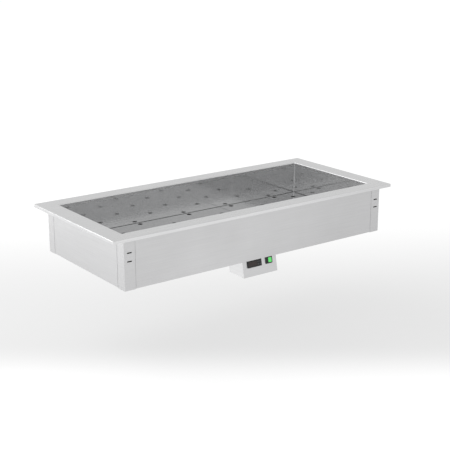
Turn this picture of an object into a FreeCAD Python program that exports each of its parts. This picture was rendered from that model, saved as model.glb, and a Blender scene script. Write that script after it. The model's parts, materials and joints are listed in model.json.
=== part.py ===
import FreeCAD
import Part
import math
import os
from FreeCAD import Vector

os.makedirs("parts", exist_ok=True)

# Drop-in heated food well for four gastronorm 1/1 pans side by side.
# Millimetres. +X runs along the well to the right, -Y to the front, +Z up.
# The origin is the centre of the worktop cut-out, level with the worktop.

# Sizes shared by the whole well

cut_overrun = 1.0
touch_tolerance = 0.001

pan_width = 325.0
pan_length = 530.0
pan_count = 4
pan_end_ease = 5.0
pan_ledge = 6.0
opening_length = pan_count * pan_width + 2 * pan_end_ease
opening_width = pan_length - 2 * pan_ledge
opening_corner_radius = 6.0

well_sheet = 1.5
well_depth = 165.5
lip_height = 13.5
flange_end_margin = 80.0
flange_side_margin = 71.0
flange_length = opening_length + 2 * flange_end_margin
flange_width = opening_width + 2 * flange_side_margin
flange_top_z = lip_height
flange_underside_z = flange_top_z - well_sheet
skirt_depth = lip_height
skirt_foot_z = flange_top_z - skirt_depth
tank_floor_z = flange_top_z - well_depth
tank_outside_length = opening_length + 2 * well_sheet
tank_outside_width = opening_width + 2 * well_sheet
tank_underside_z = tank_floor_z - well_sheet

flange_end_overhang = 55.0
flange_side_overhang = 17.0
casing_length = flange_length - 2 * flange_end_overhang
casing_width = flange_width - 2 * flange_side_overhang
under_tank_space = 48.5
casing_sheet = 1.0
casing_foot_z = tank_underside_z - under_tank_space
post_sheet = 1.2
post_leg = 50.0
panel_return = 15.0
panel_inside_x = casing_length / 2 - post_sheet - casing_sheet
panel_inside_y = casing_width / 2 - post_sheet - casing_sheet

control_width = 180.0
control_depth = 106.5
control_front_inset = 9.5
control_foot_y = -casing_width / 2 + control_front_inset
control_rear_y = control_foot_y + control_depth

screw_clearance = 0.1
seat_gap = 0.2


# Helpers for solids

def box(x0, x1, y0, y1, z0, z1):
    return Part.makeBox(x1 - x0, y1 - y0, z1 - z0, Vector(x0, y0, z0))


def centred_box(length, width, z0, z1, x=0, y=0):
    return box(x - length / 2, x + length / 2, y - width / 2, y + width / 2, z0, z1)


def upright_edges(shape):
    found = []
    for edge in shape.Edges:
        first, last = edge.Vertexes[0].Point, edge.Vertexes[-1].Point
        level = abs(first.z - last.z)
        aside = math.hypot(first.x - last.x, first.y - last.y)
        if aside < touch_tolerance < level:
            found.append(edge)
    return found


def level_edges(shape, z, inside_of=None):
    found = []
    for edge in shape.Edges:
        limits = edge.BoundBox
        flat = abs(limits.ZMin - z) < touch_tolerance and abs(limits.ZMax - z) < touch_tolerance
        if not flat:
            continue
        if inside_of is not None:
            half_x, half_y = inside_of
            reach_x = max(abs(limits.XMin), abs(limits.XMax))
            reach_y = max(abs(limits.YMin), abs(limits.YMax))
            if reach_x > half_x or reach_y > half_y:
                continue
        found.append(edge)
    return found


def rounded_block(length, width, z0, z1, radius, x=0, y=0):
    block = centred_box(length, width, z0, z1, x, y)
    return block.makeFillet(radius, upright_edges(block))


def rod(radius, start, end):
    along = end.sub(start)
    return Part.makeCylinder(radius, along.Length, start, along)


def ring(outer_radius, inner_radius, start, end):
    along = end.sub(start)
    length = along.Length
    step = Vector(along).normalize().multiply(cut_overrun)
    hole = rod(inner_radius, start.sub(step), end.add(step))
    return Part.makeCylinder(outer_radius, length, start, along).cut(hole)


def hexagon(across_flats, start, end):
    """A hexagonal prism about the line from start to end."""
    along = end.sub(start)
    corner = across_flats / math.sqrt(3)
    points = []
    for side in range(6):
        turn = math.radians(60 * side)
        points.append(Vector(corner * math.cos(turn), corner * math.sin(turn), 0))
    prism = Part.Face(Part.makePolygon(points + [points[0]])).extrude(Vector(0, 0, along.Length))
    prism.Placement = FreeCAD.Placement(start, FreeCAD.Rotation(Vector(0, 0, 1), along))
    return prism


def profile_along_x(points, x0, x1):
    """A prism along X whose outline is a list of (y, z) points."""
    corners = [Vector(x0, y, z) for y, z in points]
    face = Part.Face(Part.makePolygon(corners + [corners[0]]))
    return face.extrude(Vector(x1 - x0, 0, 0))


def turned(shape, angle):
    copy = shape.copy()
    copy.rotate(Vector(0, 0, 0), Vector(0, 0, 1), angle)
    return copy


def mirrored_left_right(shape):
    return shape.mirror(Vector(0, 0, 0), Vector(1, 0, 0))


def mirrored_front_rear(shape):
    return shape.mirror(Vector(0, 0, 0), Vector(0, 1, 0))


def group(shapes):
    return Part.makeCompound(shapes)


def spread(count, span):
    """Even places over a span centred on zero."""
    return [span * (index / (count - 1) - 1 / 2) for index in range(count)]


def bent_tube(points, radius, bend_radius):
    """A round bar along straight runs, with an arc at each corner."""
    edges = []
    last = points[0]
    for index in range(1, len(points) - 1):
        corner = points[index]
        back = points[index - 1].sub(corner).normalize()
        ahead = points[index + 1].sub(corner).normalize()
        half_angle = back.getAngle(ahead) / 2
        setback = bend_radius / math.tan(half_angle)
        start = corner.add(Vector(back).multiply(setback))
        end = corner.add(Vector(ahead).multiply(setback))
        inward = back.add(ahead).normalize()
        centre = corner.add(Vector(inward).multiply(bend_radius / math.sin(half_angle)))
        middle = centre.sub(Vector(inward).multiply(bend_radius))
        if last.distanceToPoint(start) > touch_tolerance:
            edges.append(Part.LineSegment(last, start).toShape())
        edges.append(Part.Arc(start, middle, end).toShape())
        last = end
    edges.append(Part.LineSegment(last, points[-1]).toShape())
    path = Part.Wire(edges)
    section = Part.Wire([Part.makeCircle(radius, points[0], points[1].sub(points[0]))])
    return path.makePipeShell([section], True, False)


# Top flange: a plate with a lip turned down outside and a skirt round the opening

lip_corner_inside_radius = 1.5
lip_bend_inside_radius = 1.0
skirt_bend_inside_radius = 2.5


def make_top_flange():
    plate = rounded_block(flange_length, flange_width, 0, flange_top_z,
                          lip_corner_inside_radius + well_sheet)
    plate = plate.makeFillet(lip_bend_inside_radius + well_sheet, level_edges(plate, flange_top_z))
    hollow = rounded_block(flange_length - 2 * well_sheet, flange_width - 2 * well_sheet,
                           -cut_overrun, flange_underside_z, lip_corner_inside_radius)
    hollow = hollow.makeFillet(lip_bend_inside_radius, level_edges(hollow, flange_underside_z))
    skirt = rounded_block(tank_outside_length, tank_outside_width, skirt_foot_z, flange_top_z,
                          opening_corner_radius + well_sheet)
    flange = plate.cut(hollow).fuse(skirt).removeSplitter()
    root_half = (tank_outside_length / 2 + touch_tolerance, tank_outside_width / 2 + touch_tolerance)
    flange = flange.makeFillet(skirt_bend_inside_radius,
                               level_edges(flange, flange_underside_z, root_half))
    opening = rounded_block(opening_length, opening_width, skirt_foot_z - cut_overrun,
                            flange_top_z + cut_overrun, opening_corner_radius)
    flange = flange.cut(opening)
    brink_half = (opening_length / 2 + touch_tolerance, opening_width / 2 + touch_tolerance)
    return flange.makeFillet(skirt_bend_inside_radius + well_sheet,
                             level_edges(flange, flange_top_z, brink_half))


# Sealing gasket: a foam frame between the lip and the casing, level with the lip's edge

gasket_ease = 1.5
gasket_width = flange_side_overhang - well_sheet - 2 * gasket_ease
gasket_outside_length = flange_length - 2 * well_sheet - 2 * gasket_ease
gasket_outside_width = flange_width - 2 * well_sheet - 2 * gasket_ease


def make_flange_gasket():
    outside = centred_box(gasket_outside_length, gasket_outside_width, 0, flange_underside_z)
    inside = centred_box(gasket_outside_length - 2 * gasket_width,
                         gasket_outside_width - 2 * gasket_width,
                         -cut_overrun, flange_underside_z + cut_overrun)
    return outside.cut(inside)


# Well tank: a tub with a shallow drain recess in its floor

tank_floor_radius = 3.0
drain_recess_top_radius = 45.0
drain_recess_foot_radius = 34.0
drain_recess_depth = 4.0
drain_recess_floor_z = tank_floor_z - drain_recess_depth
drain_recess_underside_z = drain_recess_floor_z - well_sheet

plate_end_ease = 1.0
plate_wall_gap = tank_floor_radius + plate_end_ease
lift_hole_end_inset = 60.0
lift_hole_side_inset = 65.0
drain_x = opening_length / 2 - plate_wall_gap - lift_hole_end_inset
drain_y = opening_width / 2 - plate_wall_gap - lift_hole_side_inset

drain_tail_radius = 13.2
drain_hole_ease = 0.3


def tub(length, width, floor_z, rim_z, corner_radius, floor_radius):
    block = rounded_block(length, width, floor_z, rim_z, corner_radius)
    return block.makeFillet(floor_radius, level_edges(block, floor_z))


def recess(extra_radius, z0):
    return Part.makeCone(drain_recess_foot_radius + extra_radius, drain_recess_top_radius + extra_radius,
                         drain_recess_depth, Vector(drain_x, drain_y, z0))


def make_well_tank():
    outside = tub(tank_outside_length, tank_outside_width, tank_underside_z, skirt_foot_z,
                  opening_corner_radius + well_sheet, tank_floor_radius + well_sheet)
    outside = outside.fuse(recess(well_sheet, drain_recess_underside_z))
    inside = tub(opening_length, opening_width, tank_floor_z, skirt_foot_z + cut_overrun,
                 opening_corner_radius, tank_floor_radius)
    hole = rod(drain_tail_radius + drain_hole_ease,
               Vector(drain_x, drain_y, drain_recess_underside_z - cut_overrun),
               Vector(drain_x, drain_y, tank_floor_z))
    return outside.cut([inside, recess(0, drain_recess_floor_z), hole])


# False bottom: two perforated trays turned upside down on the tank's floor

plate_sheet = 1.2
plate_height = 15.0
plate_joint_x = 188.0
plate_joint_gap = 2.0
plate_top_z = tank_floor_z + plate_height
plate_corner_radius = opening_corner_radius - plate_wall_gap
plate_bend_inside_radius = 1.0
hole_radius = 11.0
hole_joint_margin = 55.0
hole_end_margin = 60.0
hole_side_margin = 19.5
column_pitch = 133.0
rib_thickness = 3.0
rib_end_ease = 10.0
plate_side_y = opening_width / 2 - plate_wall_gap
plate_end_x = opening_length / 2 - plate_wall_gap
row_pitch = (plate_side_y - hole_side_margin) / 3


def column_rows(even):
    rows = (-2, 0, 2) if even else (-3, -1, 1, 3)
    return [row * row_pitch for row in rows]


def plate_columns(direction):
    """How many columns of holes fit on the plate to the left (-1) or right (+1) of the joint."""
    free = abs(direction * plate_end_x - plate_joint_x) - hole_joint_margin - hole_end_margin
    return 1 + int(free / column_pitch)


def plate_holes(direction):
    """Hole centres of one plate, counted away from the joint between the plates."""
    places = []
    for column in range(plate_columns(direction)):
        x = plate_joint_x + direction * (hole_joint_margin + column * column_pitch)
        starts_even = direction < 0
        even = (column % 2 == 0) == starts_even
        places.extend((x, y) for y in column_rows(even))
    lift_x = direction * (plate_end_x - lift_hole_end_inset)
    lift_y = direction * (plate_side_y - lift_hole_side_inset)
    return places + [(lift_x, lift_y)]


def make_false_bottom(direction):
    joint_x = plate_joint_x + direction * plate_joint_gap / 2
    outer_x = direction * plate_end_x
    length, centre_x = abs(outer_x - joint_x), (outer_x + joint_x) / 2
    tray = rounded_block(length, 2 * plate_side_y, tank_floor_z, plate_top_z, plate_corner_radius, centre_x)
    tray = tray.makeFillet(plate_bend_inside_radius + plate_sheet, level_edges(tray, plate_top_z))
    hollow = centred_box(length - 2 * plate_sheet, 2 * plate_side_y - 2 * plate_sheet,
                         tank_floor_z - cut_overrun, plate_top_z - plate_sheet, centre_x)
    inside_radius = plate_corner_radius - plate_sheet
    hollow = hollow.makeFillet(inside_radius, upright_edges(hollow))
    hollow = hollow.makeFillet(plate_bend_inside_radius, level_edges(hollow, plate_top_z - plate_sheet))
    cutters = [hollow]
    for x, y in plate_holes(direction):
        cutters.append(rod(hole_radius, Vector(x, y, tank_floor_z), Vector(x, y, plate_top_z + cut_overrun)))
    return group([tray.cut(cutters)] + false_bottom_ribs(direction))


def false_bottom_ribs(direction):
    """Flat bars on edge between the columns of holes, which carry the plate's middle."""
    ribs = []
    for column in range(0, plate_columns(direction) - 1, 2):
        x = plate_joint_x + direction * (hole_joint_margin + (column + 1 / 2) * column_pitch)
        width = 2 * (plate_side_y - plate_sheet - rib_end_ease)
        ribs.append(centred_box(rib_thickness, width, tank_floor_z, plate_top_z - plate_sheet, x))
    return ribs


# Casing: four folded panels lapped behind four corner posts

panel_lap = 12.0
panel_return_ease = 5.0
panel_seam_gap = 2.0


def make_casing_panel(side_length, face_distance):
    """The panel on the front side, seen along +Y, with returns at its top and foot.

    Its ends are set back to lap behind the posts, and its face is flush with theirs."""
    half_span = side_length / 2 - post_leg + panel_lap
    half_face = side_length / 2 - post_leg - panel_seam_gap
    half_return = side_length / 2 - post_leg - panel_return_ease
    outer_y = -face_distance + post_sheet
    inner_y = outer_y + casing_sheet
    laps = box(-half_span, half_span, outer_y, inner_y, casing_foot_z, flange_underside_z)
    raised = box(-half_face, half_face, -face_distance, inner_y, casing_foot_z, flange_underside_z)
    hollow = box(casing_sheet - half_face, half_face - casing_sheet, -face_distance + casing_sheet,
                 inner_y + cut_overrun, casing_foot_z - cut_overrun, flange_underside_z + cut_overrun)
    foot = box(-half_return, half_return, -face_distance, inner_y + panel_return,
               casing_foot_z, casing_foot_z + casing_sheet)
    head = box(-half_return, half_return, -face_distance, inner_y + panel_return,
               flange_underside_z - casing_sheet, flange_underside_z)
    return laps.fuse(raised).cut(hollow).fuse([foot, head]).removeSplitter()


post_drop = 2.0
post_bend_inside_radius = 1.0
slot_length = 22.0
slot_height = 5.0
slot_pitch = 35.0
upper_slot_depth = 51.0


def slot_cutter(x, z):
    """A round-ended slot through the front leg of a post."""
    half_run = (slot_length - slot_height) / 2
    y0, y1 = -casing_width / 2 - cut_overrun, -casing_width / 2 + post_sheet + cut_overrun
    middle = box(x - half_run, x + half_run, y0, y1, z - slot_height / 2, z + slot_height / 2)
    ends = [rod(slot_height / 2, Vector(x + side * half_run, y0, z), Vector(x + side * half_run, y1, z))
            for side in (-1, 1)]
    return middle.fuse(ends)


def edges_at_corner(shape, x, y):
    """The upright edges that stand no further right or back than (x, y)."""
    return [edge for edge in upright_edges(shape)
            if edge.BoundBox.XMax < x + touch_tolerance and edge.BoundBox.YMax < y + touch_tolerance]


def make_corner_post():
    """The front left post."""
    x0, y0 = -casing_length / 2, -casing_width / 2
    z0, z1 = casing_foot_z - post_drop, flange_underside_z
    outside = box(x0, x0 + post_leg, y0, y0 + post_leg, z0, z1)
    outside = outside.makeFillet(post_bend_inside_radius + post_sheet, edges_at_corner(outside, x0, y0))
    inner_x, inner_y = x0 + post_sheet, y0 + post_sheet
    inside = box(inner_x, x0 + post_leg + cut_overrun, inner_y, y0 + post_leg + cut_overrun,
                 z0 - cut_overrun, z1 + cut_overrun)
    inside = inside.makeFillet(post_bend_inside_radius, edges_at_corner(inside, inner_x, inner_y))
    slots = [slot_cutter(x0 + post_leg / 2, -upper_slot_depth - row * slot_pitch) for row in range(2)]
    return outside.cut([inside] + slots)


# Bottom panel and its screws

bottom_sheet = 1.0
bottom_inset = 1.0
bottom_top_z = casing_foot_z
bottom_underside_z = casing_foot_z - bottom_sheet
case_screw_radius = 2.0
case_screw_head_radius = 4.0
case_screw_head_height = 2.4
case_screw_length = 8.0
case_screw_long_count = 5
case_screw_short_count = 2
case_screw_end_inset = 60.0
grommet_x = 20.0
grommet_rear_inset = 54.0
grommet_y = control_rear_y - grommet_rear_inset
grommet_radius = 14.0
grommet_hole_radius = 11.0
drain_pass_radius = 20.0


def case_screw_places():
    return_middle_x = panel_inside_x - panel_return / 2
    return_middle_y = panel_inside_y - panel_return / 2
    long_span = casing_length - 2 * post_leg - 2 * case_screw_end_inset
    short_span = casing_width - 2 * post_leg - 2 * case_screw_end_inset
    places = []
    for x in spread(case_screw_long_count, long_span):
        places.extend([(x, -return_middle_y), (x, return_middle_y)])
    for y in spread(case_screw_short_count, short_span):
        places.extend([(-return_middle_x, y), (return_middle_x, y)])
    return places


def case_screws():
    screws = []
    for x, y in case_screw_places():
        head = rod(case_screw_head_radius, Vector(x, y, bottom_underside_z - case_screw_head_height),
                   Vector(x, y, bottom_underside_z))
        head = head.makeFillet(case_screw_head_height / 2,
                               level_edges(head, bottom_underside_z - case_screw_head_height))
        shank = rod(case_screw_radius, Vector(x, y, bottom_underside_z),
                    Vector(x, y, bottom_underside_z + case_screw_length))
        screws.append(head.fuse(shank))
    return screws


def case_screw_holes():
    return [rod(case_screw_radius + screw_clearance, Vector(x, y, bottom_underside_z - cut_overrun),
                Vector(x, y, bottom_underside_z + case_screw_length)) for x, y in case_screw_places()]


# Mineral wool: four side slabs against the tank and a base slab on the bottom panel

slab_top_drop = 4.0
side_slab_foot_z = casing_foot_z + case_screw_length + casing_sheet
slab_end_ease = 1.0
base_slab_headroom = 2.6
base_slab_edge_ease = 1.0
base_slab_bay_ease = 15.0
base_slab_bay_half = control_width / 2 + base_slab_bay_ease
base_slab_bay_rear_gap = 52.0
base_slab_bay_rear_y = control_rear_y + base_slab_bay_rear_gap
drain_bay_ease = 6.0


def make_side_insulation(x0, x1, y0, y1):
    return box(x0, x1, y0, y1, side_slab_foot_z, flange_underside_z - casing_sheet - slab_top_drop)


def make_front_insulation():
    half_length = casing_length / 2 - post_leg - slab_end_ease
    return make_side_insulation(-half_length, half_length, -panel_inside_y, -tank_outside_width / 2)


def make_right_insulation():
    return make_side_insulation(tank_outside_length / 2, panel_inside_x,
                                -tank_outside_width / 2, tank_outside_width / 2)


def make_base_insulation():
    half_x = tank_outside_length / 2 - base_slab_edge_ease
    half_y = tank_outside_width / 2 - base_slab_edge_ease
    top_z = clamp_stud_foot_z - base_slab_headroom
    slab = box(-half_x, half_x, -half_y, half_y, bottom_top_z, top_z)
    bay = box(-base_slab_bay_half, base_slab_bay_half, -half_y - cut_overrun, base_slab_bay_rear_y,
              bottom_top_z - cut_overrun, top_z + cut_overrun)
    drain_bay = rod(drain_pass_radius + drain_bay_ease, Vector(drain_x, drain_y, bottom_top_z - cut_overrun),
                    Vector(drain_x, drain_y, top_z + cut_overrun))
    return slab.cut([bay, drain_bay])


# Heating elements: two tubular loops pressed to the tank's underside by clamp bars

element_radius = 4.0
element_axis_z = tank_underside_z - seat_gap - element_radius
element_side_margin = 75.0
element_row_pitch = (opening_width - 2 * element_side_margin) / 3
element_near_x = 60.0
element_drain_gap = 22.0
element_far_x = drain_x - drain_recess_top_radius - element_radius - element_drain_gap
element_bend_share = 0.46
element_bend_radius = element_bend_share * element_row_pitch
element_pin_radius = 1.5
element_pin_length = 18.0
element_rows = [element_row_pitch * step for step in (-3 / 2, -1 / 2, 1 / 2, 3 / 2)]
clamp_bar_width = 20.0
clamp_bar_thickness = 2.0
clamp_bar_end = 25.0
clamp_bar_inset = 15.0
clamp_bar_xs = (element_near_x + element_bend_radius + clamp_bar_inset,
                element_far_x - element_bend_radius - clamp_bar_inset)
clamp_top_z = element_axis_z - element_radius - seat_gap
clamp_foot_z = clamp_top_z - clamp_bar_thickness
stud_radius = 2.5
nut_across_flats = 8.0
nut_height = 4.0
stud_tail = 1.5
clamp_stud_foot_z = clamp_foot_z - nut_height - stud_tail


def make_heating_element(side):
    points = [Vector(side * element_near_x, element_rows[0], element_axis_z)]
    near = True
    for lower, upper in zip(element_rows, element_rows[1:]):
        x = element_far_x if near else element_near_x
        points.append(Vector(side * x, lower, element_axis_z))
        points.append(Vector(side * x, upper, element_axis_z))
        near = not near
    points.append(Vector(side * element_near_x, element_rows[-1], element_axis_z))
    sheath = bent_tube(points, element_radius, element_bend_radius)
    pins = [rod(element_pin_radius, Vector(side * element_near_x, y, element_axis_z),
                Vector(side * (element_near_x - element_pin_length), y, element_axis_z))
            for y in (element_rows[0], element_rows[-1])]
    return group([sheath] + pins)


def clamp_stud_places():
    between = [(low + high) / 2 for low, high in zip(element_rows, element_rows[1:])]
    return [(side * x, y) for side in (-1, 1) for x in clamp_bar_xs for y in between]


def make_element_clamps():
    half_length = element_rows[-1] + clamp_bar_end
    bars = []
    for side in (-1, 1):
        for x in clamp_bar_xs:
            bars.append(centred_box(clamp_bar_width, 2 * half_length, clamp_foot_z, clamp_top_z, side * x))
    holes = [rod(stud_radius + screw_clearance, Vector(x, y, clamp_foot_z - cut_overrun),
                 Vector(x, y, clamp_top_z + cut_overrun)) for x, y in clamp_stud_places()]
    return group([bar.cut(holes) for bar in bars])


def make_clamp_fasteners():
    """Weld studs under the tank, each with its nut below the clamp bar."""
    fasteners = []
    for x, y in clamp_stud_places():
        fasteners.append(rod(stud_radius, Vector(x, y, clamp_stud_foot_z), Vector(x, y, tank_underside_z)))
        top, foot = Vector(x, y, clamp_foot_z), Vector(x, y, clamp_foot_z - nut_height)
        overrun = Vector(0, 0, cut_overrun)
        hole = rod(stud_radius + screw_clearance, foot.sub(overrun), top.add(overrun))
        fasteners.append(hexagon(nut_across_flats, foot, top).cut(hole))
    return group(fasteners)


# Temperature probe and limiter bulb, each held to the tank's underside by a welded clip

probe_radius = 3.0
probe_length = 60.0
probe_x = 30.0
probe_y = 0.0
clip_sheet = 1.0
clip_width = 12.0
clip_foot = 8.0
sensor_axis_z = tank_underside_z - seat_gap - probe_radius


def sensor_centres():
    return [(-probe_x, probe_y), (probe_x, probe_y)]


def make_tank_sensors():
    """The thermostat's probe on the left and the limiter's bulb on the right."""
    return group([rod(probe_radius, Vector(x, y - probe_length / 2, sensor_axis_z),
                      Vector(x, y + probe_length / 2, sensor_axis_z)) for x, y in sensor_centres()])


def make_sensor_clips():
    clips = []
    inner = probe_radius + seat_gap
    outer = inner + clip_sheet
    for x, y in sensor_centres():
        y0, y1 = y - clip_width / 2, y + clip_width / 2
        strap = box(x - outer, x + outer, y0, y1, sensor_axis_z - outer, tank_underside_z)
        feet = box(x - outer - clip_foot, x + outer + clip_foot, y0, y1,
                   tank_underside_z - clip_sheet, tank_underside_z)
        inside = box(x - inner, x + inner, y0 - cut_overrun, y1 + cut_overrun,
                     sensor_axis_z - inner, tank_underside_z + cut_overrun)
        clips.append(strap.fuse(feet).removeSplitter().cut(inside))
    return group(clips)


# Drain: fitting through the tank, gasket, lock nut and strainer

drain_flange_radius = 30.0
drain_flange_thickness = 2.5
drain_bore_radius = 10.0
drain_gasket_thickness = 2.0
drain_nut_across_flats = 36.0
drain_nut_height = 8.0
drain_tail_exit = 12.0
drain_tail_foot_z = bottom_underside_z - drain_tail_exit
bridge_width = 5.0
bridge_height = 5.0
bridge_drop = 6.0
strainer_radius = 16.0
strainer_sheet = 1.0
strainer_hole_radius = 1.8
strainer_hole_circle = 10.5
strainer_hole_count = 10
strainer_screw_radius = 2.0
strainer_screw_head_radius = 3.5
strainer_screw_head_height = 1.0
thread_ease = 0.1


def at_drain(z):
    return Vector(drain_x, drain_y, z)


def make_drain_fitting():
    flange_top = drain_recess_floor_z + drain_flange_thickness
    body = rod(drain_flange_radius, at_drain(drain_recess_floor_z), at_drain(flange_top))
    tail = rod(drain_tail_radius, at_drain(drain_tail_foot_z), at_drain(drain_recess_floor_z))
    bore = rod(drain_bore_radius, at_drain(drain_tail_foot_z - cut_overrun), at_drain(flange_top))
    mouth = rod(strainer_radius + drain_hole_ease, at_drain(flange_top - strainer_sheet),
                at_drain(flange_top + cut_overrun))
    bridge_top = flange_top - strainer_sheet
    bridge = centred_box(2 * drain_bore_radius + cut_overrun, bridge_width, bridge_top - bridge_height,
                         bridge_top, drain_x, drain_y)
    tapped = rod(strainer_screw_radius + thread_ease, at_drain(bridge_top - bridge_drop),
                 at_drain(flange_top))
    return body.fuse(tail).cut([bore, mouth]).fuse(bridge).removeSplitter().cut(tapped)


def make_drain_strainer():
    z1 = drain_recess_floor_z + drain_flange_thickness
    z0 = z1 - strainer_sheet
    disc = rod(strainer_radius, at_drain(z0), at_drain(z1))
    below, above = at_drain(z0 - cut_overrun), at_drain(z1 + cut_overrun)
    holes = [rod(strainer_screw_radius + screw_clearance, below, above)]
    for index in range(strainer_hole_count):
        turn = 2 * math.pi * index / strainer_hole_count
        offset = Vector(strainer_hole_circle * math.cos(turn), strainer_hole_circle * math.sin(turn), 0)
        holes.append(rod(strainer_hole_radius, below.add(offset), above.add(offset)))
    return disc.cut(holes)


def strainer_screw():
    seat = drain_recess_floor_z + drain_flange_thickness
    head = rod(strainer_screw_head_radius, at_drain(seat), at_drain(seat + strainer_screw_head_height))
    shank = rod(strainer_screw_radius, at_drain(seat - strainer_sheet - bridge_height), at_drain(seat))
    return head.fuse(shank)


def make_drain_gasket():
    top = drain_recess_underside_z
    return ring(drain_flange_radius, drain_tail_radius + thread_ease,
                at_drain(top - drain_gasket_thickness), at_drain(top))


def make_drain_lock_nut():
    top = drain_recess_underside_z - drain_gasket_thickness
    nut = hexagon(drain_nut_across_flats, at_drain(top - drain_nut_height), at_drain(top))
    hole = rod(drain_tail_radius + thread_ease, at_drain(top - drain_nut_height - cut_overrun),
               at_drain(top + cut_overrun))
    return nut.cut(hole)


# Drain valve: a quarter-turn ball valve screwed to the tail, with its lever to the front

valve_top_gap = 1.0
valve_socket_depth = 11.0
valve_end_across_flats = 32.0
valve_end_length = 14.0
valve_barrel_radius = 19.0
valve_ball_radius = 15.0
valve_ball_gap = 0.3
valve_seat_length = 4.0
valve_seat_outer_radius = 14.5
valve_barrel_half = 17.0
valve_outlet_length = 14.0
bonnet_radius = 9.0
bonnet_reach = 26.0
stem_radius = 4.0
stem_running_ease = 0.05
stem_tang = 3.0
packing_nut_across_flats = 17.0
packing_nut_height = 5.0
lever_gap = 1.0
lever_thickness = 3.0
lever_width = 15.0
lever_length = 85.0
lever_grip_length = 55.0
lever_grip_wall = 1.5
lever_nut_across_flats = 13.0
lever_nut_height = 5.0
stem_thread_tail = 1.5
valve_top_z = bottom_underside_z - valve_top_gap
valve_axis_z = valve_top_z - valve_end_length - valve_barrel_half
valve_foot_z = valve_axis_z - valve_barrel_half - valve_outlet_length
valve_stem_end_x = drain_x + bonnet_reach + packing_nut_height + lever_gap
lever_outer_x = valve_stem_end_x + lever_thickness


def on_valve(x, z=0):
    """A point on the stem's axis, z above it."""
    return Vector(x, drain_y, valve_axis_z + z)


def valve_chamber():
    """The hollow for the ball, with its seam turned away from the stem."""
    chamber = Part.makeSphere(valve_ball_radius + valve_ball_gap, on_valve(drain_x))
    chamber.rotate(on_valve(drain_x), Vector(0, 0, 1), 180)
    return chamber


def make_valve_body():
    socket = hexagon(valve_end_across_flats, on_valve(drain_x, valve_barrel_half),
                     on_valve(drain_x, valve_barrel_half + valve_end_length))
    barrel = rod(valve_barrel_radius, on_valve(drain_x, -valve_barrel_half),
                 on_valve(drain_x, valve_barrel_half))
    outlet = rod(drain_tail_radius, at_drain(valve_foot_z), on_valve(drain_x, -valve_barrel_half))
    bonnet = rod(bonnet_radius, on_valve(drain_x), on_valve(drain_x + bonnet_reach))
    body = barrel.fuse([socket, outlet, bonnet]).removeSplitter()
    waterway = rod(drain_bore_radius, at_drain(valve_foot_z - cut_overrun),
                   at_drain(valve_top_z + cut_overrun))
    thread = rod(drain_tail_radius + thread_ease, at_drain(valve_top_z - valve_socket_depth - seat_gap),
                 at_drain(valve_top_z + cut_overrun))
    pockets = [rod(valve_seat_outer_radius, on_valve(drain_x, side * drain_bore_radius),
                   on_valve(drain_x, side * (drain_bore_radius + valve_seat_length))) for side in (-1, 1)]
    stem_hole = rod(stem_radius + stem_running_ease, on_valve(drain_x),
                    on_valve(drain_x + bonnet_reach + cut_overrun))
    return body.cut([waterway, thread, valve_chamber(), stem_hole] + pockets)


def make_valve_seats():
    seats = []
    for side in (-1, 1):
        seat = ring(valve_seat_outer_radius, drain_bore_radius, on_valve(drain_x, side * drain_bore_radius),
                    on_valve(drain_x, side * (drain_bore_radius + valve_seat_length)))
        seats.append(seat.cut(valve_chamber()))
    return group(seats)


def make_valve_ball():
    """The ball at rest is shut: its bore lies across the waterway, along Y."""
    ball = Part.makeSphere(valve_ball_radius, on_valve(drain_x))
    ball.rotate(on_valve(drain_x), Vector(1, 0, 0), 90)
    ball.rotate(on_valve(drain_x), Vector(0, 1, 0), 180)
    across = Vector(0, valve_ball_radius + cut_overrun, 0)
    bore = rod(drain_bore_radius, on_valve(drain_x).sub(across), on_valve(drain_x).add(across))
    slot = box(drain_x + valve_ball_radius - stem_tang, drain_x + valve_ball_radius + cut_overrun,
               drain_y - valve_ball_radius, drain_y + valve_ball_radius,
               valve_axis_z - stem_tang / 2, valve_axis_z + stem_tang / 2)
    return ball.cut([bore, slot])


def make_valve_stem():
    shaft_start = drain_x + valve_ball_radius + valve_ball_gap
    shaft_end = lever_outer_x + lever_nut_height + stem_thread_tail
    shaft = rod(stem_radius, on_valve(shaft_start), on_valve(shaft_end))
    tang_half = stem_tang / 2 - stem_running_ease
    tang_start = drain_x + valve_ball_radius - stem_tang + seat_gap
    tang = box(tang_start, shaft_start, drain_y - stem_radius / 2, drain_y + stem_radius / 2,
               valve_axis_z - tang_half, valve_axis_z + tang_half)
    return shaft.fuse(tang)


def make_valve_packing_nut():
    start, end = drain_x + bonnet_reach, drain_x + bonnet_reach + packing_nut_height
    hole = rod(stem_radius + stem_running_ease, on_valve(start - cut_overrun), on_valve(end + cut_overrun))
    return hexagon(packing_nut_across_flats, on_valve(start), on_valve(end)).cut(hole)


def make_valve_lever():
    head = rod(lever_width / 2, on_valve(valve_stem_end_x), on_valve(lever_outer_x))
    bar = box(valve_stem_end_x, lever_outer_x, drain_y - lever_length, drain_y,
              valve_axis_z - lever_width / 2, valve_axis_z + lever_width / 2)
    eye = rod(stem_radius + screw_clearance, on_valve(valve_stem_end_x - cut_overrun),
              on_valve(lever_outer_x + cut_overrun))
    return head.fuse(bar).removeSplitter().cut(eye)


def make_lever_grip():
    y_tip = drain_y - lever_length
    grown = lever_grip_wall
    sleeve = box(valve_stem_end_x - grown, lever_outer_x + grown, y_tip - grown, y_tip + lever_grip_length,
                 valve_axis_z - lever_width / 2 - grown, valve_axis_z + lever_width / 2 + grown)
    sleeve = sleeve.makeFillet(grown / 2, sleeve.Edges)
    core = box(valve_stem_end_x, lever_outer_x, y_tip, y_tip + lever_grip_length + cut_overrun,
               valve_axis_z - lever_width / 2, valve_axis_z + lever_width / 2)
    return sleeve.cut(core)


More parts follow.
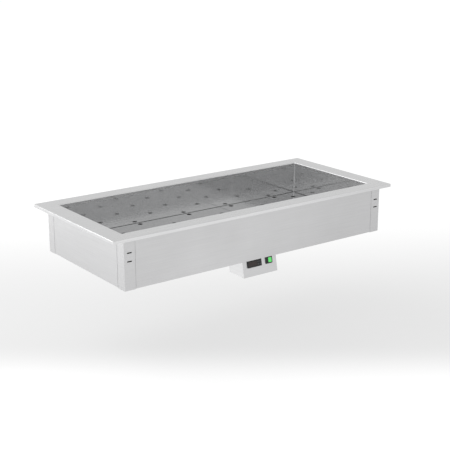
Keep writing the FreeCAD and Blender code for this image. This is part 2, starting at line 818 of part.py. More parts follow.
def make_lever_nut():
    nut = hexagon(lever_nut_across_flats, on_valve(lever_outer_x), on_valve(lever_outer_x + lever_nut_height))
    hole = rod(stem_radius + screw_clearance, on_valve(lever_outer_x - cut_overrun),
               on_valve(lever_outer_x + lever_nut_height + cut_overrun))
    return nut.cut(hole)


# Control box: an open-topped shell under the bottom panel, closed in front by a sloping panel

control_headroom = 34.0
rail_height = 7.5
block_height = 32.0
control_sheet = 1.0
face_sheet = 1.5
face_tilt = 11.0
face_return = 22.0
control_bend_inside_radius = 0.8
control_drop = face_sheet + control_sheet + rail_height + block_height + control_headroom
control_top_z = bottom_underside_z
control_foot_z = control_top_z - control_drop
shell_foot_z = control_foot_z + face_sheet
tilt_slope = math.tan(math.radians(face_tilt))
tilt_stretch = 1 / math.cos(math.radians(face_tilt))
shell_return = 12.0


def on_face(shape):
    """Carries a shape from the sloping panel's own frame to its place.

    In that frame the panel's front is the plane y = 0, z runs up the slope
    from the panel's foot, and -Y points out of the panel.
    """
    placed = shape.copy()
    placed.rotate(Vector(0, 0, 0), Vector(1, 0, 0), -face_tilt)
    placed.translate(Vector(0, control_foot_y, control_foot_z))
    return placed


def face_y(z, depth):
    """Where a plane at some depth behind the panel's front meets height z."""
    return control_foot_y + (z - control_foot_z) * tilt_slope + depth * tilt_stretch


display_width = 74.0
display_height = 32.0
display_cut_width = 71.0
display_cut_height = 29.0
controls_top_margin = 6.4
controls_up = control_drop * tilt_stretch - controls_top_margin - display_height / 2
splash_width = 37.0
splash_height = 31.0
controls_gap = (control_width - display_width - splash_width) / 3
display_x = -control_width / 2 + controls_gap + display_width / 2
switch_x = control_width / 2 - controls_gap - splash_width / 2
switch_cut_width = 30.0
switch_cut_height = 25.0
panel_screw_end_inset = 30.0
panel_screw_spacing = control_width - 2 * panel_screw_end_inset
panel_screw_radius = 2.0
panel_screw_head_radius = 4.0
panel_screw_head_height = 2.2
panel_screw_length = 7.0


def panel_screw_places():
    y = control_foot_y + face_return / 2
    return [(side * panel_screw_spacing / 2, y) for side in (-1, 1)]


def panel_screw_holes():
    return [rod(panel_screw_radius + screw_clearance, Vector(x, y, control_foot_z - cut_overrun),
                Vector(x, y, control_foot_z + panel_screw_length)) for x, y in panel_screw_places()]


def fold_edges(shape, y, z):
    """The edges along X that pass through (y, z)."""
    found = []
    for edge in shape.Edges:
        limits = edge.BoundBox
        level = abs(limits.ZMin - z) < touch_tolerance and abs(limits.ZMax - z) < touch_tolerance
        if level and abs(limits.YMin - y) < touch_tolerance and abs(limits.YMax - y) < touch_tolerance:
            found.append(edge)
    return found


def make_control_panel():
    z0, z1, z2 = control_foot_z, shell_foot_z, control_top_z
    outline = [(control_foot_y, z0), (control_foot_y + face_return, z0), (control_foot_y + face_return, z1),
               (face_y(z1, face_sheet), z1), (face_y(z2, face_sheet), z2), (face_y(z2, 0), z2)]
    sheet = profile_along_x(outline, -control_width / 2, control_width / 2)
    sheet = sheet.makeFillet(control_bend_inside_radius + face_sheet, fold_edges(sheet, control_foot_y, z0))
    sheet = sheet.makeFillet(control_bend_inside_radius, fold_edges(sheet, face_y(z1, face_sheet), z1))
    display_cut = on_face(box(display_x - display_cut_width / 2, display_x + display_cut_width / 2,
                              -cut_overrun, face_sheet + cut_overrun,
                              controls_up - display_cut_height / 2, controls_up + display_cut_height / 2))
    switch_cut = on_face(box(switch_x - switch_cut_width / 2, switch_x + switch_cut_width / 2,
                             -cut_overrun, face_sheet + cut_overrun,
                             controls_up - switch_cut_height / 2, controls_up + switch_cut_height / 2))
    return sheet.cut([display_cut, switch_cut] + panel_screw_holes())


gland_end_inset = 40.0
gland_x = control_width / 2 - gland_end_inset
gland_thread_radius = 10.0
gland_drop = 40.0
gland_axis_z = control_top_z - gland_drop
bond_end_inset = 35.0
bond_x = -control_width / 2 + bond_end_inset
bond_radius = 3.0
bond_axis_z = gland_axis_z
box_screw_radius = 2.0
box_screw_head_radius = 4.0
box_screw_head_height = 2.4
box_screw_length = 8.0
box_screw_rear_inset = 20.0
box_screw_front_inset = 45.0
front_return_ease = 30.0


def box_screw_places():
    x = control_width / 2 - control_sheet - shell_return / 2
    return [(side * x, control_rear_y - inset) for side in (-1, 1)
            for inset in (box_screw_rear_inset, box_screw_front_inset)]


def make_control_box():
    z0, z1 = shell_foot_z, control_top_z
    half = control_width / 2
    outline = [(face_y(z0, face_sheet), z0), (control_rear_y, z0), (control_rear_y, z1),
               (face_y(z1, face_sheet), z1)]
    outside = profile_along_x(outline, -half, half)
    outside = outside.makeFillet(control_bend_inside_radius + control_sheet,
                                 fold_edges(outside, control_rear_y, z0))
    outside = outside.makeFillet(control_bend_inside_radius,
                                 fold_edges(outside, face_y(z0, face_sheet), z0))
    floor_z, wall_y = z0 + control_sheet, control_rear_y - control_sheet
    top_z = z1 + cut_overrun
    hollow_outline = [(face_y(floor_z, 0), floor_z), (wall_y, floor_z), (wall_y, top_z),
                      (face_y(top_z, 0), top_z)]
    hollow = profile_along_x(hollow_outline, -half + control_sheet, half - control_sheet)
    hollow = hollow.makeFillet(control_bend_inside_radius, fold_edges(hollow, wall_y, floor_z))
    shell = outside.cut(hollow)
    return_front_y = face_y(z1, face_sheet) + front_return_ease
    returns = [box(side * (half - control_sheet / 2) - (shell_return if side > 0 else 0),
                   side * (half - control_sheet / 2) + (0 if side > 0 else shell_return),
                   return_front_y, wall_y, z1 - control_sheet, z1) for side in (-1, 1)]
    shell = shell.fuse(returns).removeSplitter()
    inside_y, outside_y = wall_y - cut_overrun, control_rear_y + cut_overrun
    gland_hole = rod(gland_thread_radius + screw_clearance, on_gland(inside_y), on_gland(outside_y))
    bond_hole = rod(bond_radius + screw_clearance, on_bond(inside_y), on_bond(outside_y))
    return shell.cut([gland_hole, bond_hole] + box_screw_holes() + panel_screw_holes())


def box_screw_holes():
    return [rod(box_screw_radius + screw_clearance, Vector(x, y, bottom_top_z - box_screw_length),
                Vector(x, y, bottom_top_z + cut_overrun)) for x, y in box_screw_places()]


def box_screws():
    screws = []
    for x, y in box_screw_places():
        head_top = bottom_top_z + box_screw_head_height
        head = rod(box_screw_head_radius, Vector(x, y, bottom_top_z), Vector(x, y, head_top))
        head = head.makeFillet(box_screw_head_height / 2, level_edges(head, head_top))
        shank = rod(box_screw_radius, Vector(x, y, bottom_top_z - box_screw_length),
                    Vector(x, y, bottom_top_z))
        screws.append(head.fuse(shank))
    return screws


def panel_screws():
    screws = []
    for x, y in panel_screw_places():
        head_foot = control_foot_z - panel_screw_head_height
        head = rod(panel_screw_head_radius, Vector(x, y, head_foot), Vector(x, y, control_foot_z))
        head = head.makeFillet(panel_screw_head_height / 2, level_edges(head, head_foot))
        shank = rod(panel_screw_radius, Vector(x, y, control_foot_z),
                    Vector(x, y, control_foot_z + panel_screw_length))
        screws.append(head.fuse(shank))
    return screws


def make_bottom_panel():
    half_x = casing_length / 2 - post_sheet - bottom_inset
    half_y = casing_width / 2 - post_sheet - bottom_inset
    sheet = box(-half_x, half_x, -half_y, half_y, bottom_underside_z, bottom_top_z)
    drain_hole = rod(drain_pass_radius, at_drain(bottom_underside_z - cut_overrun),
                     at_drain(bottom_top_z + cut_overrun))
    grommet_hole = rod(grommet_radius, on_grommet(bottom_underside_z - cut_overrun),
                       on_grommet(bottom_top_z + cut_overrun))
    return sheet.cut([drain_hole, grommet_hole] + case_screw_holes() + box_screw_holes())


grommet_lip = 3.0
grommet_lip_height = 2.0


def on_grommet(z):
    return Vector(grommet_x, grommet_y, z)


def make_wire_grommet():
    foot_z, head_z = bottom_underside_z - grommet_lip_height, bottom_top_z + grommet_lip_height
    sleeve = rod(grommet_radius, on_grommet(foot_z), on_grommet(head_z))
    lips = [rod(grommet_radius + grommet_lip, on_grommet(foot_z), on_grommet(bottom_underside_z)),
            rod(grommet_radius + grommet_lip, on_grommet(bottom_top_z), on_grommet(head_z))]
    hole = rod(grommet_hole_radius, on_grommet(foot_z - cut_overrun), on_grommet(head_z + cut_overrun))
    return sleeve.fuse(lips).removeSplitter().cut(hole)


# Digital thermostat: housing through the panel, bezel, window, keys and side clips

housing_ease = 0.25
housing_depth = 57.0
bezel_depth = 5.0
bezel_corner_radius = 2.0
window_width = 46.0
window_height = 21.0
window_thickness = 1.2
window_left_margin = 4.0
window_ease = 0.2
key_width = 7.4
key_height = 6.4
key_ease = 0.3
key_stand = 0.8
key_back_gap = 1.0
key_pitch_x = 9.6
key_pitch_z = 11.0
key_right_margin = 10.5
key_edge_radius = 0.8
key_columns = (-1, 1)
key_rows = (-1, 1)
clip_reach = 6.0
clip_depth = 8.0
clip_height = 12.0

keys_x = display_x + display_width / 2 - key_right_margin - key_pitch_x / 2


def key_centre(column, row):
    return (keys_x + column * key_pitch_x / 2, controls_up + row * key_pitch_z / 2)


def face_block(width, height, y0, y1, x, z):
    """A block of the panel's frame, from depth y0 to depth y1."""
    return box(x - width / 2, x + width / 2, y0, y1, z - height / 2, z + height / 2)


def outward_edges(shape):
    """The edges of a block that run into the panel."""
    found = []
    for edge in shape.Edges:
        first, last = edge.Vertexes[0].Point, edge.Vertexes[-1].Point
        aside = math.hypot(first.x - last.x, first.z - last.z)
        if aside < touch_tolerance < abs(first.y - last.y):
            found.append(edge)
    return found


def front_edges(shape, y):
    """The edges that lie in the plane at y."""
    found = []
    for edge in shape.Edges:
        limits = edge.BoundBox
        if abs(limits.YMin - y) < touch_tolerance and abs(limits.YMax - y) < touch_tolerance:
            found.append(edge)
    return found


def make_controller_housing():
    width = display_cut_width - 2 * housing_ease
    height = display_cut_height - 2 * housing_ease
    return on_face(face_block(width, height, 0, housing_depth, display_x, controls_up))


def window_centre_x():
    return display_x - display_width / 2 + window_left_margin + window_width / 2


def make_controller_bezel():
    block = face_block(display_width, display_height, -bezel_depth, 0, display_x, controls_up)
    block = block.makeFillet(bezel_corner_radius, outward_edges(block))
    block = block.makeFillet(bezel_corner_radius / 2, front_edges(block, -bezel_depth))
    pocket = face_block(window_width + 2 * window_ease, window_height + 2 * window_ease,
                        -bezel_depth - cut_overrun, -bezel_depth + window_thickness,
                        window_centre_x(), controls_up)
    cutters = [pocket]
    for column in key_columns:
        for row in key_rows:
            x, z = key_centre(column, row)
            cutters.append(face_block(key_width + 2 * key_ease, key_height + 2 * key_ease,
                                      -bezel_depth - cut_overrun, cut_overrun, x, z))
    return on_face(block.cut(cutters))


def make_display_window():
    return on_face(face_block(window_width, window_height, -bezel_depth, -bezel_depth + window_thickness,
                              window_centre_x(), controls_up))


def make_key(column, row):
    x, z = key_centre(column, row)
    block = face_block(key_width, key_height, -bezel_depth - key_stand, -key_back_gap, x, z)
    block = block.makeFillet(key_edge_radius, outward_edges(block))
    return on_face(block.makeFillet(key_stand / 2, front_edges(block, -bezel_depth - key_stand)))


def make_controller_clips():
    clips = []
    for side in (-1, 1):
        inner = display_cut_width / 2 - housing_ease
        x = display_x + side * (inner + clip_reach / 2)
        clips.append(on_face(face_block(clip_reach, clip_height, face_sheet, face_sheet + clip_depth,
                                        x, controls_up)))
    return group(clips)


# Power switch: a two-position rocker with a green lens, in a splash frame

splash_depth = 3.0
splash_corner_radius = 3.0
splash_edge_radius = 1.0
switch_body_ease = 0.2
switch_body_depth = 24.0
rocker_radius = 13.3
rocker_length = 22.0
rocker_ease = 0.3
rocker_pivot_depth = 1.0
rocker_crown = 3.4
rocker_crown_angle = 12.0
rocker_back = 3.0
rocker_swing = 20.0
rocker_pin_radius = 1.5
rocker_pin_length = 0.8
rocker_pin_ease = 0.05
lens_start = -2.2
lens_edge = 1.1
lens_side_inset = 0.9
lens_floor = 2.0
terminal_width = 6.3
terminal_thickness = 0.8
terminal_length = 9.0
terminal_spread = 7.0


def rocker_pivot():
    return Vector(switch_x, rocker_pivot_depth, controls_up)


def rocker_blank():
    """The rocker level between its two positions, about its pivot."""
    pivot = rocker_pivot()
    half = Vector(0, 0, rocker_length / 2)
    disc = rod(rocker_radius, pivot.sub(half), pivot.add(half))
    rise = rocker_radius * math.tan(math.radians(rocker_crown_angle))
    x, y = pivot.x, pivot.y
    outline = [(x - rocker_radius, y + rocker_back), (x + rocker_radius, y + rocker_back),
               (x + rocker_radius, y - rocker_crown - rise), (x, y - rocker_crown),
               (x - rocker_radius, y - rocker_crown - rise)]
    corners = [Vector(px, py, pivot.z - rocker_length / 2) for px, py in outline]
    prism = Part.Face(Part.makePolygon(corners + [corners[0]])).extrude(half.multiply(2))
    return disc.common(prism)


def lens_zone():
    pivot = rocker_pivot()
    return box(pivot.x + lens_start, pivot.x + rocker_radius - lens_edge,
               pivot.y - rocker_radius, pivot.y - lens_floor,
               pivot.z - rocker_length / 2 + lens_side_inset, pivot.z + rocker_length / 2 - lens_side_inset)


def at_rest(shape):
    """Tips the level rocker so that its left half is pressed in."""
    copy = shape.copy()
    copy.rotate(rocker_pivot(), Vector(0, 0, 1), -rocker_swing / 2)
    return on_face(copy)


def make_power_rocker():
    pivot = rocker_pivot()
    reach = Vector(0, 0, rocker_length / 2 + rocker_pin_length)
    pins = rod(rocker_pin_radius, pivot.sub(reach), pivot.add(reach))
    return at_rest(rocker_blank().cut(lens_zone()).fuse(pins).removeSplitter())


def make_rocker_lens():
    return at_rest(rocker_blank().common(lens_zone()))


def make_switch_frame():
    front = face_block(splash_width, splash_height, -splash_depth, 0, switch_x, controls_up)
    front = front.makeFillet(splash_corner_radius, outward_edges(front))
    front = front.makeFillet(splash_edge_radius, front_edges(front, -splash_depth))
    body = face_block(switch_cut_width - 2 * switch_body_ease, switch_cut_height - 2 * switch_body_ease,
                      0, switch_body_depth, switch_x, controls_up)
    frame = front.fuse(body).removeSplitter()
    pivot = rocker_pivot()
    half = Vector(0, 0, rocker_length / 2 + rocker_ease)
    chamber = rod(rocker_radius + rocker_ease, pivot.sub(half), pivot.add(half))
    mouth = face_block(2 * (rocker_radius + rocker_ease), rocker_length + 2 * rocker_ease,
                       -splash_depth - cut_overrun, rocker_pivot_depth, switch_x, controls_up)
    reach = Vector(0, 0, rocker_length / 2 + rocker_pin_length + rocker_ease / 2)
    sockets = rod(rocker_pin_radius + rocker_pin_ease, pivot.sub(reach), pivot.add(reach))
    return group([on_face(frame.cut([chamber, mouth, sockets]))] + switch_terminals())


def switch_terminals():
    tabs = []
    for side_x in (-1, 1):
        for side_z in (-1, 1):
            tabs.append(on_face(face_block(terminal_thickness, terminal_width, switch_body_depth,
                                           switch_body_depth + terminal_length,
                                           switch_x + side_x * terminal_spread,
                                           controls_up + side_z * terminal_spread / 2)))
    return tabs


# Inside the control box: rail, terminal block, relay and limiter thermostat

rail_length = 76.0
rail_width = 35.0
rail_sheet = 1.0
rail_brim = 5.0
rail_rear_inset = 30.0
rail_gap_share = 0.23
control_floor_z = shell_foot_z + control_sheet
block_width = 10.0
block_count = 6
block_depth = 40.0
relay_rear_inset = 38.0
relay_gap_share = 0.29
relay_length = 58.0
relay_width = 45.0
relay_height = 22.0
relay_foot = 3.0
limiter_rear_inset = 70.0
limiter_size = 26.0
limiter_height = 24.0
limiter_plate = 2.0
limiter_plate_width = 36.0

spare_width = control_width - 2 * control_sheet - relay_width - rail_length
rail_x = control_width / 2 - control_sheet - rail_gap_share * spare_width - rail_length / 2
rail_y = control_rear_y - rail_rear_inset
relay_x = -control_width / 2 + control_sheet + relay_gap_share * spare_width + relay_width / 2
relay_y = control_rear_y - relay_rear_inset
limiter_x = rail_x + rail_length / 2 - limiter_size / 2
limiter_y = control_rear_y - limiter_rear_inset


def make_mounting_rail():
    x0, x1 = rail_x - rail_length / 2, rail_x + rail_length / 2
    top_z = control_floor_z + rail_height
    web = box(x0, x1, rail_y - rail_width / 2 + rail_brim, rail_y + rail_width / 2 - rail_brim,
              control_floor_z, control_floor_z + rail_sheet)
    parts = []
    for side in (-1, 1):
        inner = side * (rail_width / 2 - rail_brim)
        wall = sorted((inner, inner - side * rail_sheet))
        brim = sorted((inner - side * rail_sheet, side * rail_width / 2))
        parts.append(box(x0, x1, rail_y + wall[0], rail_y + wall[1], control_floor_z, top_z))
        parts.append(box(x0, x1, rail_y + brim[0], rail_y + brim[1], top_z - rail_sheet, top_z))
    return web.fuse(parts).removeSplitter()


def make_terminal_block():
    blocks = []
    z0 = control_floor_z + rail_height
    screw_hole = block_width / 4
    for x in spread(block_count, (block_count - 1) * block_width):
        block = centred_box(block_width - seat_gap, block_depth, z0, z0 + block_height, rail_x + x, rail_y)
        cutters = []
        for side in (-1, 1):
            y = rail_y + side * block_depth / 4
            cutters.append(rod(screw_hole, Vector(rail_x + x, y, z0 + block_height / 2),
                               Vector(rail_x + x, y, z0 + block_height + cut_overrun)))
        blocks.append(block.cut(cutters))
    return group(blocks)


def make_power_relay():
    foot_top_z = control_floor_z + relay_foot
    foot = centred_box(relay_width, relay_length, control_floor_z, foot_top_z, relay_x, relay_y)
    body = centred_box(relay_width, relay_length - 2 * relay_foot, foot_top_z,
                       control_floor_z + relay_height, relay_x, relay_y)
    return foot.fuse(body).removeSplitter()


def make_limiter():
    seat_z = control_floor_z + limiter_plate
    plate = centred_box(limiter_size, limiter_plate_width, control_floor_z, seat_z, limiter_x, limiter_y)
    can = rod(limiter_size / 2, Vector(limiter_x, limiter_y, seat_z),
              Vector(limiter_x, limiter_y, control_floor_z + limiter_height))
    return plate.fuse(can).removeSplitter()


# Cable gland and bonding stud in the box's rear wall

gland_flange_across_flats = 22.5
gland_flange_length = 8.0
gland_dome_radius = 12.0
gland_dome_length = 16.0
gland_dome_edge = 3.0
gland_bore_radius = 5.0
gland_nut_across_flats = 24.0
gland_nut_length = 5.0
gland_inside_length = 7.0
gland_thread_reach = 8.0
bond_outside_length = 18.0
bond_inside_length = 9.0
bond_nut_across_flats = 10.0
bond_nut_height = 5.0
bond_collar_height = 5.0


def on_gland(y):
    return Vector(gland_x, y, gland_axis_z)


def make_cable_gland():
    outer_y = control_rear_y + gland_flange_length
    inner_y = control_rear_y - control_sheet - gland_inside_length
    hexed = hexagon(gland_flange_across_flats, on_gland(control_rear_y), on_gland(outer_y))
    thread = rod(gland_thread_radius, on_gland(inner_y), on_gland(outer_y + gland_thread_reach))
    bore = rod(gland_bore_radius, on_gland(inner_y - cut_overrun),
               on_gland(outer_y + gland_thread_reach + cut_overrun))
    return hexed.fuse(thread).removeSplitter().cut(bore)


def make_gland_nuts():
    """The dome nut outside and the lock nut inside the rear wall."""
    y0 = control_rear_y + gland_flange_length
    y1 = y0 + gland_dome_length
    dome = rod(gland_dome_radius, on_gland(y0), on_gland(y1))
    dome = dome.makeFillet(gland_dome_edge, front_edges(dome, y1))
    socket = rod(gland_thread_radius + thread_ease, on_gland(y0 - cut_overrun),
                 on_gland(y0 + gland_thread_reach))
    bore = rod(gland_bore_radius, on_gland(y0), on_gland(y1 + cut_overrun))
    wall_y = control_rear_y - control_sheet
    nut_y = wall_y - gland_nut_length
    hole = rod(gland_thread_radius + thread_ease, on_gland(nut_y - cut_overrun),
               on_gland(wall_y + cut_overrun))
    lock_nut = hexagon(gland_nut_across_flats, on_gland(nut_y), on_gland(wall_y)).cut(hole)
    return group([dome.cut([socket, bore]), lock_nut])


def on_bond(y):
    return Vector(bond_x, y, bond_axis_z)


def make_bonding_stud():
    """A stud with a hexagonal collar outside the rear wall and a nut inside it."""
    wall_y = control_rear_y - control_sheet
    shank = rod(bond_radius, on_bond(wall_y - bond_inside_length), on_bond(control_rear_y))
    collar = hexagon(bond_nut_across_flats, on_bond(control_rear_y),
                     on_bond(control_rear_y + bond_collar_height))
    free_end = rod(bond_radius, on_bond(control_rear_y + bond_collar_height),
                   on_bond(control_rear_y + bond_outside_length))
    nut_y = wall_y - bond_nut_height
    hole = rod(bond_radius + thread_ease, on_bond(nut_y - cut_overrun), on_bond(wall_y + cut_overrun))
    nut = hexagon(bond_nut_across_flats, on_bond(nut_y), on_bond(wall_y)).cut(hole)
    return group([shank.fuse([collar, free_end]), nut])


# Leads from the elements' pins, through the grommet, down to the terminal block

lead_radius = 1.5
lead_bend_radius = 9.0
lead_lane = 5.0
lead_run_drop = 17.0
lanes = (-3 / 2, -1 / 2, 1 / 2, 3 / 2)


def make_element_leads():
    """The outer lanes serve the front pins and the inner lanes the rear pins."""
    leads = []
    run_z = control_top_z - lead_run_drop
    block_top_z = control_floor_z + rail_height + block_height
    for lane in lanes:
        side = 1 if lane > 0 else -1
        pin_y = element_rows[0] if abs(lane) > 1 else element_rows[-1]
        pin_x = side * (element_near_x - element_pin_length)
        lane_x = grommet_x + lane * lead_lane
        block_x = rail_x + lane * block_width
        points = [Vector(pin_x, pin_y, element_axis_z), Vector(lane_x, pin_y, element_axis_z),
                  Vector(lane_x, grommet_y, element_axis_z), Vector(lane_x, grommet_y, run_z),
                  Vector(block_x, rail_y, run_z), Vector(block_x, rail_y, block_top_z)]
        leads.append(bent_tube(points, lead_radius, lead_bend_radius))
    return group(leads)


# Every node of the well

front_panel = make_casing_panel(casing_length, casing_width / 2).cut(case_screw_holes())
right_panel = turned(make_casing_panel(casing_width, casing_length / 2), 90).cut(case_screw_holes())
front_left_post = make_corner_post()
front_right_post = mirrored_left_right(front_left_post)
front_slab = make_front_insulation()
right_slab = make_right_insulation()

nodes = {
    "top_flange": make_top_flange(),
    "flange_gasket": make_flange_gasket(),
    "well_tank": make_well_tank(),
    "false_bottom_left": make_false_bottom(-1),
    "false_bottom_right": make_false_bottom(1),
    "front_casing_panel": front_panel,
    "rear_casing_panel": mirrored_front_rear(front_panel),
    "left_casing_panel": mirrored_left_right(right_panel),
    "right_casing_panel": right_panel,
    "corner_post_front_left": front_left_post,
    "corner_post_front_right": front_right_post,
    "corner_post_rear_left": mirrored_front_rear(front_left_post),
    "corner_post_rear_right": mirrored_front_rear(front_right_post),
    "bottom_panel": make_bottom_panel(),
    "front_insulation": front_slab,
    "rear_insulation": mirrored_front_rear(front_slab),
    "left_insulation": mirrored_left_right(right_slab),
    "right_insulation": right_slab,
    "base_insulation": make_base_insulation(),
    "heating_element_left": make_heating_element(-1),
    "heating_element_right": make_heating_element(1),
    "element_clamps": make_element_clamps(),
    "clamp_fasteners": make_clamp_fasteners(),
    "tank_sensors": make_tank_sensors(),
    "sensor_clips": make_sensor_clips(),
    "element_leads": make_element_leads(),
    "wire_grommet": make_wire_grommet(),
    "drain_fitting": make_drain_fitting(),
    "drain_gasket": make_drain_gasket(),
    "drain_lock_nut": make_drain_lock_nut(),
    "drain_strainer": make_drain_strainer(),
    "valve_body": make_valve_body(),
    "valve_seats": make_valve_seats(),
    "valve_packing_nut": make_valve_packing_nut(),
    "valve_ball": make_valve_ball(),
    "valve_stem": make_valve_stem(),
    "valve_lever": make_valve_lever(),
    "lever_grip": make_lever_grip(),
    "lever_nut": make_lever_nut(),
    "control_box": make_control_box(),
    "control_panel": make_control_panel(),
    "controller_housing": make_controller_housing(),
    "controller_bezel": make_controller_bezel(),
    "controller_clips": make_controller_clips(),
    "display_window": make_display_window(),
    "key_set": make_key(-1, 1),
    "key_up": make_key(1, 1),
    "key_light": make_key(-1, -1),
    "key_down": make_key(1, -1),
    "switch_frame": make_switch_frame(),
    "power_rocker": make_power_rocker(),
    "rocker_lens": make_rocker_lens(),
    "mounting_rail": make_mounting_rail(),
    "terminal_block": make_terminal_block(),
    "power_relay": make_power_relay(),
    "limiter_thermostat": make_limiter(),
    "cable_gland": make_cable_gland(),
    "gland_nuts": make_gland_nuts(),
    "bonding_stud": make_bonding_stud(),
    "screws": group(case_screws() + box_screws() + panel_screws() + [strainer_screw()]),
}

for name, shape in nodes.items():
    shape.exportStep("parts/" + name + ".step")
    print(name, len(shape.Solids), "solids", shape.isValid(), round(shape.Volume))
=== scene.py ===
# %% [markdown]
# # A drop in heated food well
# A steel basin that hangs by its flange in a cut out of a counter top, with a
# low control box under its front edge. The sheet metal, the drain and the
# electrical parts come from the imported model. This lesson gives each of them
# its finish, and makes the pieces that Blender does better: the perforated
# false bottoms, the screws, the cable gland's nuts, a thread and small marks.

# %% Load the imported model
import json
import math

import bmesh
import bpy
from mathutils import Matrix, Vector

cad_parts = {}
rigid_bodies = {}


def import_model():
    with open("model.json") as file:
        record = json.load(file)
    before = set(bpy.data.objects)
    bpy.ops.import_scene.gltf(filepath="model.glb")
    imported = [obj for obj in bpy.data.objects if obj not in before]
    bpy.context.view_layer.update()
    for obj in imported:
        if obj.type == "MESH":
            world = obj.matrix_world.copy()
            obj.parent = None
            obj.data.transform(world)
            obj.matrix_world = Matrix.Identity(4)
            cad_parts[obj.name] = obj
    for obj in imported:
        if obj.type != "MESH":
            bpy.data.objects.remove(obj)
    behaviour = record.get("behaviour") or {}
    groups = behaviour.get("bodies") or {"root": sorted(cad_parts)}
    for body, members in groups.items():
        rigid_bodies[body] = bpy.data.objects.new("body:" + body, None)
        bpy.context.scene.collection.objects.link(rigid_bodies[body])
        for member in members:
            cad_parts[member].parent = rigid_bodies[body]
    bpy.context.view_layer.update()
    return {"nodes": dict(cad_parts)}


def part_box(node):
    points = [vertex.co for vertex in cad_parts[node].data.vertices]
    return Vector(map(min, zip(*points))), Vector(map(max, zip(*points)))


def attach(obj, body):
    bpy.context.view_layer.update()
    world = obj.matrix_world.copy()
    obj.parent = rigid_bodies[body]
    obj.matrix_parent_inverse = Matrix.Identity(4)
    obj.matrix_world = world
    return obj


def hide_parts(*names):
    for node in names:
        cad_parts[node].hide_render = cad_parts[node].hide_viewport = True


for leftover in list(bpy.context.scene.objects):
    bpy.data.objects.remove(leftover)

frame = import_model()

# %% [markdown]
# ## The camera
# A long lens from the front left, a little above the flange, so that the
# basin's floor and its rear wall both show. A camera can be set by eye. Here
# its place, direction and lens were worked out from the corners of the flange
# and the casing, because that comes closer than the eye does.

# %% Camera
CAMERA_PLACE = Vector((-2.5599, -3.5016, 1.1725))
CAMERA_DIRECTION = Vector((0.56988, 0.76961, -0.28799))
LENS_MM = 81.245
SENSOR_MM = 36.0
VIEW_END = 200.0

camera_data = bpy.data.cameras.new("camera")
camera_data.lens = LENS_MM
camera_data.sensor_width = SENSOR_MM
camera_data.clip_end = VIEW_END
camera = bpy.data.objects.new("camera", camera_data)
camera.location = CAMERA_PLACE
camera.rotation_euler = CAMERA_DIRECTION.to_track_quat("-Z", "Y").to_euler()
bpy.context.scene.collection.objects.link(camera)
bpy.context.scene.camera = camera
bpy.context.scene.view_settings.view_transform = "Standard"
print("camera distance:", round(CAMERA_PLACE.length, 2), "m")

# %% [markdown]
# ## A helper for node trees
# Every material and every Geometry Nodes tree below is a handful of nodes.
# They could be wired one link at a time, which takes three lines a node. One
# small helper adds a node, sets its options, and fills its inputs with plain
# values or with wires from other nodes, so a node is one line.


# %% Node helper
def put(tree, kind, inputs=None, **options):
    """Adds a node. Inputs are filled by name or number, with a value or a wire."""
    node = tree.nodes.new(kind)
    for name, value in options.items():
        setattr(node, name, value)
    for name, value in (inputs or {}).items():
        if isinstance(value, bpy.types.NodeSocket):
            tree.links.new(value, node.inputs[name])
        else:
            node.inputs[name].default_value = value
    return node


def maths(tree, operation, first, second=0.0):
    return put(tree, "ShaderNodeMath", {0: first, 1: second}, operation=operation).outputs[0]


print("node helpers:", put.__name__, maths.__name__)

# %% [markdown]
# ## Studio light
# Bare steel shows what stands round it, so the room is the light. Small lamps
# would leave hot points in the metal. An even white sky has none and does
# most of the work, with two soft lamps behind the well at its left: a low one
# for the end panel, and a wide high one for the flange. The Light Path node
# shows the sky as plain white to the camera, and to rays that mirror or pass
# through.

# %% Sky
WHITE = (1.0, 1.0, 1.0, 1.0)
SKY_STRENGTH = 0.75
SHOWN_STRENGTH = 1.0


def seen_directly(tree):
    """1 for rays from the camera and for rays that mirror or pass through, else 0."""
    path = put(tree, "ShaderNodeLightPath")
    both = maths(tree, "MAXIMUM", path.outputs["Is Camera Ray"], path.outputs["Is Glossy Ray"])
    return maths(tree, "MAXIMUM", both, path.outputs["Is Transmission Ray"])


world = bpy.data.worlds.new("studio")
bpy.context.scene.world = world
world.use_nodes = True
sky = world.node_tree
sky.nodes.clear()
sky_light = put(sky, "ShaderNodeBackground", {"Color": WHITE, "Strength": SKY_STRENGTH})
sky_shown = put(sky, "ShaderNodeBackground", {"Color": WHITE, "Strength": SHOWN_STRENGTH})
sky_mix = put(sky, "ShaderNodeMixShader", {0: seen_directly(sky), 1: sky_light.outputs[0],
                                           2: sky_shown.outputs[0]})
put(sky, "ShaderNodeOutputWorld", {"Surface": sky_mix.outputs[0]})
print("sky strength:", SKY_STRENGTH)

# %% Lamps
LAMPS = {
    "left_lamp": {"place": (-2.9, 1.6, -0.05), "aim": (0, 0, -0.25), "width": 2.6, "height": 1.0,
                  "watts": 18},
    "top_lamp": {"place": (-1.2, 1.6, 2.4), "aim": (0, 0, -0.1), "width": 3.0, "height": 2.2,
                 "watts": 42},
}


def soft_lamp(name, place, aim, width, height, watts):
    data = bpy.data.lights.new(name, "AREA")
    data.shape = "RECTANGLE"
    data.size = width
    data.size_y = height
    data.energy = watts
    lamp = bpy.data.objects.new(name, data)
    lamp.location = place
    lamp.rotation_euler = (Vector(aim) - Vector(place)).to_track_quat("-Z", "Y").to_euler()
    bpy.context.scene.collection.objects.link(lamp)


for name, setting in LAMPS.items():
    soft_lamp(name, **setting)
